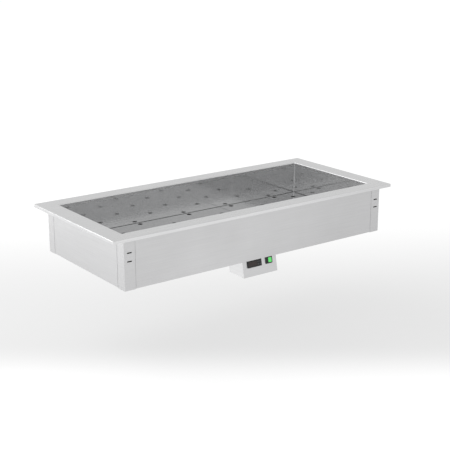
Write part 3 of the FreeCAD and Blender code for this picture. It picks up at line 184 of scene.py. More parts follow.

# %% [markdown]
# ## Floor
# One wide pale plane, well under the unit, because the well hangs free here
# as it does in the cut out of a counter. A studio floor gets its fade from
# lamps. Here the paper glows with painted light and shade, which is easier
# to steer: painted shade, deepest under the unit, and rising to white in
# front of it and behind it. A plain diffuse share keeps the soft shadow. From
# below the plane is clear, so that the underside can be looked at.

# %% Floor plane
FLOOR_Z = -0.62
FLOOR_HALF = 60.0
FLOOR_CORNERS = ((-1, -1), (1, -1), (1, 1), (-1, 1))

floor_mesh = bpy.data.meshes.new("floor")
floor_mesh.from_pydata([(x * FLOOR_HALF, y * FLOOR_HALF, FLOOR_Z) for x, y in FLOOR_CORNERS],
                       [], [(0, 1, 2, 3)])
floor = bpy.data.objects.new("floor", floor_mesh)
bpy.context.scene.collection.objects.link(floor)
print("floor at", FLOOR_Z, "m")

# %% Floor paper
INTO_THE_PICTURE = (0.5973, 0.8020, 0.0)
RISE_BEHIND = (0.0, 2.4)
RISE_IN_FRONT = (-0.15, -0.7)
# The glow is weakest under the unit: painted shade.
PAINTED_SHADE_TONE = 0.64
PALEST_TONE = 0.87
PAPER_SHADE = (0.21, 0.21, 0.21, 1.0)

paper = bpy.data.materials.new("pale_paper")
paper.use_nodes = True
tree = paper.node_tree
tree.nodes.clear()
place = put(tree, "ShaderNodeTexCoord").outputs["Object"]
away = put(tree, "ShaderNodeVectorMath", {0: place, 1: INTO_THE_PICTURE}, operation="DOT_PRODUCT")
tones = []
for start, end in (RISE_BEHIND, RISE_IN_FRONT):
    fade = put(tree, "ShaderNodeMapRange",
               {"Value": away.outputs["Value"], "From Min": start, "From Max": end,
                "To Min": PAINTED_SHADE_TONE, "To Max": PALEST_TONE}, interpolation_type="SMOOTHERSTEP")
    tones.append(fade.outputs[0])
glow = put(tree, "ShaderNodeEmission", {"Color": WHITE, "Strength": maths(tree, "MAXIMUM", *tones)})
plain = put(tree, "ShaderNodeBsdfDiffuse", {"Color": PAPER_SHADE})
lit = put(tree, "ShaderNodeAddShader", {0: glow.outputs[0], 1: plain.outputs[0]})
shown = put(tree, "ShaderNodeMixShader", {0: seen_directly(tree), 1: plain.outputs[0], 2: lit.outputs[0]})
clear = put(tree, "ShaderNodeBsdfTransparent")
underside = put(tree, "ShaderNodeNewGeometry").outputs["Backfacing"]
both = put(tree, "ShaderNodeMixShader", {0: underside, 1: shown.outputs[0], 2: clear.outputs[0]})
put(tree, "ShaderNodeOutputMaterial", {"Surface": both.outputs[0]})
floor_mesh.materials.append(paper)
print("floor tone:", PAINTED_SHADE_TONE, "to", PALEST_TONE)

# %% [markdown]
# ## What every finish is made of
# Each finish is one Principled shader with three wires: colour, roughness and
# relief. Pictures of the materials could be wrapped round the parts, but each
# part would need a map of its own. Noise in Object coordinates needs none and
# has no seams, so these helpers make noise, stretch it and set its range.


# %% Material helpers
FIRST_COLOUR = 6
SECOND_COLOUR = 7
MIXED_COLOUR = 2


def start_material(name):
    material = bpy.data.materials.new(name)
    material.use_nodes = True
    tree = material.node_tree
    tree.nodes.clear()
    shader = put(tree, "ShaderNodeBsdfPrincipled")
    put(tree, "ShaderNodeOutputMaterial", {"Surface": shader.outputs[0]})
    return material, tree, shader


def stretched(tree, scale=(1, 1, 1)):
    place = put(tree, "ShaderNodeTexCoord").outputs["Object"]
    return put(tree, "ShaderNodeMapping", {"Vector": place, "Scale": scale}).outputs[0]


def noise(tree, vector, scale, detail=3.0, rough=0.55):
    return put(tree, "ShaderNodeTexNoise", {"Vector": vector, "Scale": scale, "Detail": detail,
                                            "Roughness": rough}).outputs["Fac"]


def ranged(tree, value, low, high, start=0.3, end=0.7):
    """Noise lies mostly between 0.3 and 0.7, and this spreads it from low to high."""
    return put(tree, "ShaderNodeMapRange", {"Value": value, "From Min": start, "From Max": end,
                                            "To Min": low, "To Max": high}).outputs[0]


def opaque(shade):
    return (*shade, 1) if isinstance(shade, tuple) else shade


def colour_mix(tree, value, first, second):
    """The Mix node has sockets of one name for each kind of data, so its colours go by number."""
    colours = {0: value, FIRST_COLOUR: opaque(first), SECOND_COLOUR: opaque(second)}
    return put(tree, "ShaderNodeMix", colours, data_type="RGBA").outputs[MIXED_COLOUR]


def dress(tree, shader, colour, roughness, height, strength, depth):
    """Wires the colour and the roughness, and a height as relief of a depth in metres."""
    relief = put(tree, "ShaderNodeBump", {"Height": height, "Strength": strength,
                                          "Distance": depth}).outputs[0]
    for socket, wire in (("Base Color", colour), ("Roughness", roughness), ("Normal", relief)):
        tree.links.new(wire, shader.inputs[socket])


print("material helpers:", stretched.__name__, noise.__name__, ranged.__name__, dress.__name__)

# %% [markdown]
# ## Finishes of bare steel
# Sheet for catering equipment is brushed along its length. Anisotropy would
# blur its reflection the same way everywhere, but would show no lines. Noise
# that is stretched along one axis gives the fine lines, and the surface's own
# normal picks the axis, so that the end panels are brushed too. A wide, weak
# noise makes the handling marks. The flange's folded lip is painted paler
# than its top, as painted light on its sides. The tank and the plates are
# smooth enough to mirror each other, and a small share that isn't metal keeps
# them from being perfect mirrors. The control box gets a paler copy of the
# casing steel, as painted light on its side.


# %% Brushed steel
LINE_LENGTH_SCALE = 5.0
LINE_DETAIL = 4.0
LINE_ROUGH = 0.7
LINE_DEPTH = 0.0004
LINE_SHADES = (0.95, 1.05)
MARK_SCALE = 5.0
MARK_SHADES = (1.0, 0.975)
END_FACING = 0.7
PAINTED_LIGHT_TURN = (0.35, 0.8)


def facing(tree, axis):
    """How squarely the surface faces along an axis, from 0 to 1."""
    normal = put(tree, "ShaderNodeSeparateXYZ", {0: put(tree, "ShaderNodeTexCoord").outputs["Normal"]})
    return maths(tree, "ABSOLUTE", normal.outputs[axis])


def brush_lines(tree, line_scale):
    along_x = (LINE_LENGTH_SCALE, line_scale, line_scale)
    along_y = (line_scale, LINE_LENGTH_SCALE, line_scale)
    lines = [noise(tree, stretched(tree, scale), 1.0, LINE_DETAIL, LINE_ROUGH)
             for scale in (along_x, along_y)]
    is_end = maths(tree, "GREATER_THAN", facing(tree, "X"), END_FACING)
    return put(tree, "ShaderNodeMix", {"Factor": is_end, "A": lines[0], "B": lines[1]},
               data_type="FLOAT").outputs[0]


def brushed_steel(name, shade, roughness, spread=0.05, bump=0.03, line_scale=520.0, metallic=1.0,
                  painted_side_light=None):
    material, tree, shader = start_material(name)
    lines = brush_lines(tree, line_scale)
    marks = noise(tree, stretched(tree), MARK_SCALE)
    # Sideways faces get a paler shade of their own: painted light on the flange's folded lip.
    if painted_side_light:
        level = ranged(tree, facing(tree, "Z"), 0, 1, *PAINTED_LIGHT_TURN)
        shade = colour_mix(tree, level, painted_side_light, shade)
    depth = maths(tree, "MULTIPLY", ranged(tree, lines, *LINE_SHADES), ranged(tree, marks, *MARK_SHADES))
    tone = put(tree, "ShaderNodeVectorMath", {0: shade, "Scale": depth}, operation="SCALE").outputs[0]
    grit = maths(tree, "ADD", ranged(tree, lines, -spread / 2, spread / 2),
                 ranged(tree, marks, roughness - spread / 2, roughness + spread / 2))
    dress(tree, shader, tone, grit, lines, bump, LINE_DEPTH)
    shader.inputs["Metallic"].default_value = metallic
    return material


print("brush lines stretched over", LINE_LENGTH_SCALE, "handling marks over", MARK_SCALE)

# %% [markdown]
# ### The steels by name
# A finish could be written out for every part. One recipe serves them all,
# and a table holds only what differs: the shade, the roughness, and how
# strong and how fine the lines are. Small parts have finer lines than the
# wide sheets.

# %% Steel finishes
STEELS = {
    # The flange's second, paler shade is painted light on its folded lip.
    "polished_flange": {"shade": (0.52, 0.522, 0.525), "roughness": 0.28, "spread": 0.03, "bump": 0.012,
                        "painted_side_light": (0.73, 0.73, 0.735)},
    "tank_steel": {"shade": (0.68, 0.682, 0.685), "roughness": 0.07, "spread": 0.015, "bump": 0.004,
                   "metallic": 0.86},
    "plate_steel": {"shade": (0.42, 0.422, 0.425), "roughness": 0.12, "spread": 0.03, "bump": 0.006,
                    "metallic": 0.95},
    "casing_steel": {"shade": (0.635, 0.635, 0.64), "roughness": 0.38},
    # The control box's paler copy of the casing steel is painted light on its side.
    "control_box_painted_light_steel": {"shade": (0.88, 0.88, 0.885), "roughness": 0.42},
    "screw_steel": {"shade": (0.58, 0.58, 0.58), "roughness": 0.30, "line_scale": 2400.0},
    "sensor_steel": {"shade": (0.55, 0.55, 0.56), "roughness": 0.28, "line_scale": 1800.0},
    "strainer_steel": {"shade": (0.56, 0.56, 0.57), "roughness": 0.28, "line_scale": 1500.0},
    "lever_steel": {"shade": (0.58, 0.58, 0.58), "roughness": 0.32, "bump": 0.05, "line_scale": 1500.0},
}
FINISHES = {name: brushed_steel(name, **look) for name, look in STEELS.items()}
print("steel finishes:", len(FINISHES))

# %% [markdown]
# ## Other metals
# Zinc plate has soft, slightly blue and yellow clouds. Drain brass is cast
# and turned, with dull brown patches. The heating rods have a dark sheath
# that the heat has coloured unevenly. Two flat colours and a mask could stand
# for each, but one wide noise that mixes the colours has no hard borders, and
# a fine noise adds the grain.


# %% Zinc, brass and element sheath
CLOUD_DETAIL = 4.0
CLOUD_SMOOTHER = 0.05
CLOUD_ROUGHER = 0.08
GRAIN_DETAIL = 2.0
GRAIN_SPREAD = 0.03
METAL_GRAIN_DEPTH = 0.0003


def clouded_metal(name, shade, other, roughness, cloud_scale, grain_scale, bump=0.08):
    material, tree, shader = start_material(name)
    clouds = noise(tree, stretched(tree), cloud_scale, CLOUD_DETAIL)
    grain = noise(tree, stretched(tree), grain_scale, GRAIN_DETAIL)
    rough = maths(tree, "ADD", ranged(tree, clouds, roughness - CLOUD_SMOOTHER, roughness + CLOUD_ROUGHER),
                  ranged(tree, grain, -GRAIN_SPREAD, GRAIN_SPREAD))
    dress(tree, shader, colour_mix(tree, ranged(tree, clouds, 0, 1), shade, other), rough,
          grain, bump, METAL_GRAIN_DEPTH)
    shader.inputs["Metallic"].default_value = 1.0
    return material


CLOUDED_METALS = {
    "zinc_steel": {"shade": (0.58, 0.60, 0.64), "other": (0.66, 0.64, 0.56), "roughness": 0.34,
                   "cloud_scale": 60, "grain_scale": 1500},
    "drain_brass": {"shade": (0.66, 0.50, 0.26), "other": (0.52, 0.37, 0.18), "roughness": 0.32,
                    "cloud_scale": 45, "grain_scale": 1200},
    "element_sheath": {"shade": (0.20, 0.19, 0.18), "other": (0.30, 0.26, 0.22), "roughness": 0.42,
                       "cloud_scale": 28, "grain_scale": 1400, "bump": 0.15},
}
for name, look in CLOUDED_METALS.items():
    FINISHES[name] = clouded_metal(name, **look)
print("with clouded metals:", len(FINISHES))

# %% [markdown]
# ## Plastics and rubber
# Moulded plastic is never one flat colour: the mould leaves a fine texture,
# and handling polishes it in patches. Each piece could have a material of its
# own. One recipe with other numbers makes them all, and keeps them alike: the
# switch, the keys, the terminal block, the gland, the seals and the lever's
# dipped grip. The switch's green lens is lit, so it also glows a little.


# %% Moulded plastic and rubber
PATCH_SCALE = 40.0
PATCH_SPREAD = 0.05
SKIN_DETAIL = 2.0
SKIN_DEPTH = 0.0002
COAT_ROUGHNESS = 0.08


def moulded(name, shade, roughness, texture_scale=900.0, bump=0.10, shift=0.10, coat=0.0):
    material, tree, shader = start_material(name)
    skin = noise(tree, stretched(tree), texture_scale, SKIN_DETAIL)
    patches = noise(tree, stretched(tree), PATCH_SCALE)
    darker = tuple(v * (1 - shift) for v in shade)
    paler = tuple(min(v * (1 + shift), 1) for v in shade)
    rough = maths(tree, "ADD", ranged(tree, patches, roughness - PATCH_SPREAD, roughness + PATCH_SPREAD),
                  ranged(tree, skin, -GRAIN_SPREAD, GRAIN_SPREAD))
    dress(tree, shader, colour_mix(tree, ranged(tree, patches, 0, 1), darker, paler), rough,
          skin, bump, SKIN_DEPTH)
    shader.inputs["Coat Weight"].default_value = coat
    shader.inputs["Coat Roughness"].default_value = COAT_ROUGHNESS
    return material


print("polished patches over", PATCH_SCALE, "coat roughness", COAT_ROUGHNESS)

# %% [markdown]
# ### The plastics by name
# Again a table holds what differs. Rubber is duller and coarser than moulded
# plastic, the lever's grip, the digits and the lens have a clear coat, and
# the display window is the smoothest of all. The lens gets its glow at the
# end.

# %% Plastic and rubber finishes
RUBBER = {"roughness": 0.7, "texture_scale": 500.0, "bump": 0.2}
CLEAN_PLASTIC = {"texture_scale": 1200.0, "shift": 0.05}
PLASTICS = {
    "switch_black": {"shade": (0.012, 0.012, 0.013), "roughness": 0.38},
    "controller_black": {"shade": (0.014, 0.014, 0.015), "roughness": 0.42},
    "key_grey": {"shade": (0.045, 0.046, 0.048), "roughness": 0.5},
    "terminal_grey": {"shade": (0.42, 0.42, 0.40), "roughness": 0.5},
    "relay_black": {"shade": (0.02, 0.02, 0.022), "roughness": 0.4},
    "limiter_phenolic": {"shade": (0.05, 0.028, 0.018), "roughness": 0.4},
    "gland_plastic": {"shade": (0.03, 0.03, 0.032), "roughness": 0.5},
    "lead_silicone": {"shade": (0.52, 0.10, 0.06), "roughness": 0.55},
    "grommet_rubber": {"shade": (0.02, 0.02, 0.02), **RUBBER},
    "gasket_rubber": {"shade": (0.025, 0.025, 0.027), **RUBBER},
    "seat_ptfe": {"shade": (0.80, 0.80, 0.78), "roughness": 0.45, "texture_scale": 700.0, "bump": 0.05,
                  "shift": 0.03},
    "lever_vinyl": {"shade": (0.55, 0.03, 0.02), "roughness": 0.35, "texture_scale": 600.0, "bump": 0.12,
                    "shift": 0.08, "coat": 0.3},
    "display_red": {"shade": (0.022, 0.009, 0.007), "roughness": 0.16, "bump": 0.02, **CLEAN_PLASTIC},
    "display_segment": {"shade": (0.05, 0.022, 0.02), "roughness": 0.3, "bump": 0.02, "coat": 0.3,
                        **CLEAN_PLASTIC},
    "key_print": {"shade": (0.42, 0.42, 0.42), "roughness": 0.5, "bump": 0.03, **CLEAN_PLASTIC},
    "lens_green": {"shade": (0.14, 0.80, 0.18), "roughness": 0.22, "texture_scale": 1200.0, "bump": 0.03,
                   "shift": 0.04, "coat": 0.5},
}
LENS_LIGHT = (0.12, 1.0, 0.18, 1.0)
LENS_STRENGTH = 0.42

for name, look in PLASTICS.items():
    FINISHES[name] = moulded(name, **look)
lens_shader = FINISHES["lens_green"].node_tree.nodes["Principled BSDF"]
lens_shader.inputs["Emission Color"].default_value = LENS_LIGHT
lens_shader.inputs["Emission Strength"].default_value = LENS_STRENGTH
print("with plastics:", len(FINISHES))

# %% [markdown]
# ## Foam and mineral wool
# The flange sits on a strip of closed cell foam, and the tank is wrapped in
# mineral wool. Real hairs and bubbles would be far too many to model where
# nobody looks twice, so small cells and matted fibres are both bumps: cells
# from a Voronoi pattern, fibres from noise that is stretched on every axis.


# %% Foam and wool
CELL_SHADE = 0.7
CELL_SPREAD = 0.05
FOAM_RELIEF = 0.5
FOAM_DEPTH = 0.0006
FIBRE_SCALE = (60, 220, 700)
FIBRE_DETAIL = 5.0
FIBRE_ROUGH = 0.7
CLUMP_SCALE = 30.0
CLUMP_DETAIL = 4.0
WOOL_ROUGHNESS = (0.85, 1.0)
WOOL_RELIEF = 0.8
WOOL_DEPTH = 0.002


def cellular(name, shade, cell_scale, roughness):
    material, tree, shader = start_material(name)
    cells = put(tree, "ShaderNodeTexVoronoi", {"Vector": stretched(tree), "Scale": cell_scale})
    bubble = cells.outputs["Distance"]
    tone = colour_mix(tree, bubble, shade, tuple(v * CELL_SHADE for v in shade))
    rough = ranged(tree, bubble, roughness - CELL_SPREAD, roughness + CELL_SPREAD, 0, 1)
    dress(tree, shader, tone, rough, bubble, FOAM_RELIEF, FOAM_DEPTH)
    return material


def fibrous(name, shade, other):
    material, tree, shader = start_material(name)
    fibres = noise(tree, stretched(tree, FIBRE_SCALE), 1.0, FIBRE_DETAIL, FIBRE_ROUGH)
    clumps = noise(tree, stretched(tree), CLUMP_SCALE, CLUMP_DETAIL)
    tone = colour_mix(tree, ranged(tree, clumps, 0, 1), shade, other)
    dress(tree, shader, tone, ranged(tree, fibres, *WOOL_ROUGHNESS), fibres, WOOL_RELIEF, WOOL_DEPTH)
    return material


FINISHES["foam"] = cellular("foam", (0.05, 0.05, 0.052), 900.0, 0.8)
FINISHES["mineral_wool"] = fibrous("mineral_wool", (0.52, 0.46, 0.30), (0.40, 0.36, 0.25))
print("finishes:", len(FINISHES))

# %% [markdown]
# ## Finishes on the nodes
# The imported model names a finish for each of its parts, so its parts could be
# painted by hand one by one, but a loop does it by those names and forgets
# none. Only the control box has a finish that the imported model doesn't name:
# a paler copy of the casing steel, as painted light on its side.

# %% Give every node its finish
OWN_FINISH = {"control_box": "control_box_painted_light_steel"}

for name, node in frame["nodes"].items():
    for place in node.material_slots:
        place.material = FINISHES[OWN_FINISH.get(name, place.material.name)]
print("painted nodes:", len(frame["nodes"]))

# %% [markdown]
# ## Running a Geometry Nodes tree
# What repeats on this unit follows a rule: holes on a lattice, screws along
# the casing, ribs round a nut. Copies could be placed by hand, but a tree
# with named inputs makes each set from a few numbers. One helper starts a
# tree and one ends it. A third runs it on a seed mesh, keeps the result as a
# plain mesh without the modifier, and removes the seed.


# %% Geometry Nodes helpers
def start_tree(name, inputs):
    """A new tree with named inputs, and the wires that carry them."""
    tree = bpy.data.node_groups.new(name, "GeometryNodeTree")
    tree.interface.new_socket("Geometry", in_out="INPUT", socket_type="NodeSocketGeometry")
    for title, kind in inputs.items():
        tree.interface.new_socket(title, in_out="INPUT", socket_type="NodeSocket" + kind)
    tree.interface.new_socket("Geometry", in_out="OUTPUT", socket_type="NodeSocketGeometry")
    entry = tree.nodes.new("NodeGroupInput")
    return tree, entry.outputs


def end_tree(tree, geometry, finish):
    real = put(tree, "GeometryNodeRealizeInstances", {"Geometry": geometry}).outputs[0]
    painted = put(tree, "GeometryNodeSetMaterial", {"Geometry": real, "Material": FINISHES[finish]})
    put(tree, "NodeGroupOutput", {"Geometry": painted.outputs[0]})
    print(tree.name, "tree nodes:", len(tree.nodes))


SHARP_ANGLE = math.radians(35.0)


def grown(name, tree, values, seed_points):
    """Runs the tree on a mesh of loose points and returns the plain result at the origin."""
    seed = bpy.data.meshes.new(name + "_seed")
    seed.from_pydata([tuple(p) for p in seed_points], [], [])
    piece = bpy.data.objects.new(name + "_seed", seed)
    bpy.context.scene.collection.objects.link(piece)
    modifier = piece.modifiers.new("tree", "NODES")
    modifier.node_group = tree
    sockets = {s.name: s.identifier for s in tree.interface.items_tree if s.in_out == "INPUT"}
    for title, value in values.items():
        modifier[sockets[title]] = value
    bpy.context.view_layer.update()
    result = bpy.data.meshes.new_from_object(piece.evaluated_get(bpy.context.evaluated_depsgraph_get()))
    bpy.data.objects.remove(piece)
    result.name = name
    smooth = [face.use_smooth for face in result.polygons]
    result.set_sharp_from_angle(angle=SHARP_ANGLE)
    result.polygons.foreach_set("use_smooth", smooth)
    made = bpy.data.objects.new(name, result)
    bpy.context.scene.collection.objects.link(made)
    print(name, "faces:", len(result.polygons))
    return made


print("edges turn sharp over", round(math.degrees(SHARP_ANGLE)), "degrees")

# %% [markdown]
# ### Small blocks for the trees
# A fold and a rim are both a profile swept along a path, and holes, bars and
# ribs are one shape on many points. The nodes for this come back in every
# tree, so each of them gets a short name here.


# %% Blocks for the trees
def swept(tree, curve, profile, caps=False):
    return put(tree, "GeometryNodeCurveToMesh", {"Curve": curve, "Profile Curve": profile,
                                                 "Fill Caps": caps}).outputs[0]


def circle_of(tree, radius, sides):
    return put(tree, "GeometryNodeCurvePrimitiveCircle", {"Resolution": sides, "Radius": radius}).outputs[0]


def gathered(tree, parts):
    joined = tree.nodes.new("GeometryNodeJoinGeometry")
    for part in parts:
        tree.links.new(part, joined.inputs[0])
    return joined.outputs[0]


def moved(tree, geometry, offset):
    return put(tree, "GeometryNodeTransform", {"Geometry": geometry, "Translation": offset}).outputs[0]


def spun(tree, geometry, rotation):
    return put(tree, "GeometryNodeTransform", {"Geometry": geometry, "Rotation": rotation}).outputs[0]


def vector_of(tree, x=0.0, y=0.0, z=0.0):
    return put(tree, "ShaderNodeCombineXYZ", {"X": x, "Y": y, "Z": z}).outputs[0]


def placed(tree, points, instance, **more):
    return put(tree, "GeometryNodeInstanceOnPoints",
               {"Points": points, "Instance": instance, **more}).outputs[0]


print("blocks:", swept.__name__, gathered.__name__, moved.__name__, spun.__name__, placed.__name__)

# %% [markdown]
# ## The false bottoms
# The pans stand on two lift out plates, folded down at their edges and
# punched with columns of three and of four holes in turn. A Boolean could cut
# the holes, but a punched hole has a small rounded rim that catches the
# light. So the tree lays circles on two lattices, fills the sheet between
# them and the outline, and sweeps a rim round every hole and a fold along the
# edge. Flat bars stand on edge below. The sizes and the two profiles come
# first.

# %% Plate sizes and profiles
MM = 0.001
PLATE_TOP_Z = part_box("false_bottom_left")[1].z
PLATE_DEPTH = PLATE_TOP_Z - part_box("false_bottom_left")[0].z
PLATE_SHEET = 1.2 * MM
PLATE_FOLD = 1.4 * MM
PLATE_CORNER = 1.8 * MM
HOLE_RADIUS = 11.0 * MM
HOLE_RIM = 0.15 * MM
POINTS_MEET = 1e-6


def arc(centre, radius, start, end, steps):
    """Points of an arc in the profile's plane, angles in degrees."""
    points = []
    for step in range(steps + 1):
        turn = math.radians(start + (end - start) * step / steps)
        points.append((centre[0] + radius * math.cos(turn), centre[1] + radius * math.sin(turn), 0.0))
    return points


def polyline(tree, points):
    """A curve through fixed points, made of straight runs, for a profile."""
    runs = []
    for first, last in zip(points[:-1], points[1:]):
        runs.append(put(tree, "GeometryNodeCurvePrimitiveLine", {"Start": first, "End": last}).outputs[0])
    as_mesh = put(tree, "GeometryNodeCurveToMesh", {"Curve": gathered(tree, reversed(runs))}).outputs[0]
    welded = put(tree, "GeometryNodeMergeByDistance",
                 {"Geometry": as_mesh, "Distance": POINTS_MEET}).outputs[0]
    return put(tree, "GeometryNodeMeshToCurve", {"Mesh": welded}).outputs[0]


FOLD_PROFILE = (arc((-PLATE_FOLD, PLATE_FOLD), PLATE_FOLD, -90, 0, 5)
                + [(0.0, PLATE_DEPTH, 0.0), (-PLATE_SHEET, PLATE_DEPTH, 0.0)]
                + arc((-PLATE_FOLD, PLATE_FOLD), PLATE_FOLD - PLATE_SHEET, 0, -90, 4))
RIM_PROFILE = (arc((0.0, HOLE_RIM), HOLE_RIM, -90, -180, 3)
               + arc((0.0, PLATE_SHEET - HOLE_RIM), HOLE_RIM, 180, 90, 3))
print("plate top:", round(PLATE_TOP_Z, 4), "depth:", round(PLATE_DEPTH, 4))

# %% [markdown]
# ### The folded edge
# The sheet is bent down at its edge, so the corner is round. A Bevel could
# round a box, but one small profile swept along the plate's outline makes the
# fold, the skirt and its inner face at once, in one thickness. The outline is
# then drawn in by the fold's radius, because the flat sheet ends there.

# %% Plate tree: the folded edge
EDGE_CORNER_STEPS = 6

plate_tree, plate = start_tree("perforated_plate", {
    "Length": "Float", "Width": "Float", "Three Row Columns": "Int", "Three Row Middle": "Float",
    "Four Row Columns": "Int", "Four Row Middle": "Float", "Column Pitch": "Float",
    "Row Pitch": "Float", "Hole Radius": "Float", "Lift Hole": "Vector", "Bars": "Int",
    "First Bar": "Float", "Bar Length": "Float"})
edge = put(plate_tree, "GeometryNodeCurvePrimitiveQuadrilateral",
           {"Width": plate["Length"], "Height": plate["Width"]}).outputs[0]
edge = put(plate_tree, "GeometryNodeFilletCurve",
           {"Curve": edge, "Count": EDGE_CORNER_STEPS, "Radius": PLATE_CORNER}, mode="POLY").outputs[0]
fold = swept(plate_tree, edge, polyline(plate_tree, FOLD_PROFILE))
outward = put(plate_tree, "GeometryNodeInputNormal").outputs["Normal"]
inward = put(plate_tree, "ShaderNodeVectorMath", {0: outward, "Scale": -PLATE_FOLD},
             operation="SCALE").outputs[0]
flat_edge = put(plate_tree, "GeometryNodeSetPosition", {"Geometry": edge, "Offset": inward}).outputs[0]
print("fold profile points:", len(FOLD_PROFILE))

# %% [markdown]
# ### Holes and sheet
# Circles stand on the points of two lattices. Filled together with the drawn
# in outline they leave a flat sheet with round gaps, which needs no Boolean.
# A copy that is turned over and lies one thickness lower is the sheet's foot.
# The swept rims join the two, and merging by distance closes the solid.

# %% Plate tree: holes and sheet
HOLE_SIDES = 32
SHEET_MEETS = 2e-6


def lattice(tree, columns, column_pitch, rows, row_pitch, middle):
    size_x = maths(tree, "MULTIPLY", maths(tree, "SUBTRACT", columns, 1.0), column_pitch)
    size_y = maths(tree, "MULTIPLY", row_pitch, float(rows - 1))
    grid = put(tree, "GeometryNodeMeshGrid", {"Size X": size_x, "Size Y": size_y,
                                              "Vertices X": columns, "Vertices Y": rows}).outputs[0]
    return moved(tree, grid, vector_of(tree, middle))


rim_radius = maths(plate_tree, "ADD", plate["Hole Radius"], HOLE_RIM)
circle = circle_of(plate_tree, rim_radius, HOLE_SIDES)
rim = put(plate_tree, "GeometryNodeFlipFaces",
          {"Mesh": swept(plate_tree, circle, polyline(plate_tree, RIM_PROFILE))}).outputs[0]
columns_of = {rows: lattice(plate_tree, plate[title + " Row Columns"], plate["Column Pitch"], rows,
                            plate["Row Pitch"], plate[title + " Row Middle"])
              for rows, title in ((3, "Three"), (4, "Four"))}
lift = put(plate_tree, "GeometryNodePoints", {"Count": 1, "Position": plate["Lift Hole"]}).outputs[0]
hole_points = gathered(plate_tree, [columns_of[3], columns_of[4], lift])
holes = put(plate_tree, "GeometryNodeRealizeInstances",
            {"Geometry": placed(plate_tree, hole_points, circle)}).outputs[0]
sheet_top = put(plate_tree, "GeometryNodeFillCurve",
                {"Curve": gathered(plate_tree, [flat_edge, holes])}).outputs[0]
sheet_top = put(plate_tree, "GeometryNodeSetShadeSmooth",
                {"Geometry": sheet_top, "Shade Smooth": False}).outputs[0]
sheet_foot = put(plate_tree, "GeometryNodeFlipFaces",
                 {"Mesh": moved(plate_tree, sheet_top, (0, 0, -PLATE_SHEET))}).outputs[0]
rims = placed(plate_tree, hole_points, rim)
sheet = put(plate_tree, "GeometryNodeRealizeInstances",
            {"Geometry": gathered(plate_tree, [fold, rims, sheet_top, sheet_foot])}).outputs[0]
sheet = put(plate_tree, "GeometryNodeMergeByDistance",
            {"Geometry": sheet, "Distance": SHEET_MEETS}).outputs[0]
print("rim profile points:", len(RIM_PROFILE))

# %% [markdown]
# ### The bars below
# A thin sheet with this many holes would sag under full pans, so flat bars
# stand on edge below it. They could be placed one by one. A line of points
# with a box on each keeps them between the columns when the pitch changes.

# %% Plate tree: the bars below
BAR_THICKNESS = 3.0 * MM
bar_height = PLATE_DEPTH - PLATE_SHEET
bar = put(plate_tree, "GeometryNodeMeshCube",
          {"Size": vector_of(plate_tree, BAR_THICKNESS, plate["Bar Length"], bar_height)}).outputs[0]
first_bar = vector_of(plate_tree, plate["First Bar"], 0.0, -PLATE_SHEET - bar_height / 2)
bar_line = put(plate_tree, "GeometryNodeMeshLine",
               {"Count": plate["Bars"], "Start Location": first_bar,
                "Offset": vector_of(plate_tree, plate["Column Pitch"])}).outputs[0]
bars = placed(plate_tree, bar_line, bar)
whole_plate = placed(plate_tree, plate["Geometry"], gathered(plate_tree, [sheet, bars]))
end_tree(plate_tree, whole_plate, "plate_steel")

# %% [markdown]
# ### Two plates of different length
# One long plate would be hard to lift, so there are two. They could be two
# models, but both come from the one tree. The columns of holes count away
# from the joint: the long left plate starts with three holes and the short
# right one with four. Each has one lifting hole more, and bars between its
# columns. The volume of the closed mesh is printed, since it would be
# negative if the faces pointed inwards.


# %% Make both plates
JOINT_X = 188.0 * MM
HOLE_JOINT_MARGIN = 55.0 * MM
COLUMN_PITCH = 133.0 * MM
ROW_EDGE = 19.5 * MM
BAR_EASE = 22.4 * MM
LIFT_HOLE_X = 591.0 * MM
LIFT_HOLE_Y = 190.0 * MM
PLATES = {"left": {"side": -1, "columns": 6, "first rows": 3},
          "right": {"side": 1, "columns": 3, "first rows": 4}}


def column_x(side, index):
    """Where a column of holes lies, counted from the joint. Halves lie between two columns."""
    return JOINT_X + side * (HOLE_JOINT_MARGIN + index * COLUMN_PITCH)


def volume_of(mesh):
    work = bmesh.new()
    work.from_mesh(mesh)
    volume = work.calc_volume(signed=True)
    work.free()
    return volume


for end, row in PLATES.items():
    side, columns = row["side"], row["columns"]
    low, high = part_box("false_bottom_" + end)
    middle = (low.x + high.x) / 2
    width = high.y - low.y
    bar_places = [column_x(side, index + 0.5) for index in range(0, columns - 1, 2)]
    values = {"Length": high.x - low.x, "Width": width, "Column Pitch": 2 * COLUMN_PITCH,
              "Row Pitch": (width - 2 * ROW_EDGE) / 3, "Hole Radius": HOLE_RADIUS,
              "Lift Hole": (side * LIFT_HOLE_X - middle, side * LIFT_HOLE_Y, 0.0),
              "Bars": len(bar_places), "First Bar": min(bar_places) - middle,
              "Bar Length": width - BAR_EASE}
    for rows, title in ((3, "Three"), (4, "Four")):
        start = 0 if row["first rows"] == rows else 1
        places = [column_x(side, index) for index in range(start, columns, 2)]
        values[title + " Row Columns"] = len(places)
        values[title + " Row Middle"] = (places[0] + places[-1]) / 2 - middle
    made = grown("perforated_plate_" + end, plate_tree, values, [(middle, 0, PLATE_TOP_Z)])
    print("volume:", round(volume_of(made.data) * 1e6, 1), "cm3; box",
          [round(v, 4) for corner in (made.bound_box[0], made.bound_box[6]) for v in corner])
    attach(made, end + "_false_bottom")
    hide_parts("false_bottom_" + end)

# %% [markdown]
# ## Turned pieces
# Screws and nuts are turned on a lathe. The Screw modifier could do that, but
# inside a tree a profile swept round a circle is the same thing. Where the
# profile starts or ends on the axis, the sweep closes there, and merging by
# distance joins the points of the pole. With six sides the same helper makes
# a hexagon.


# %% Turning helpers
def in_mm(*points):
    return [(radius * MM, height * MM) for radius, height in points]


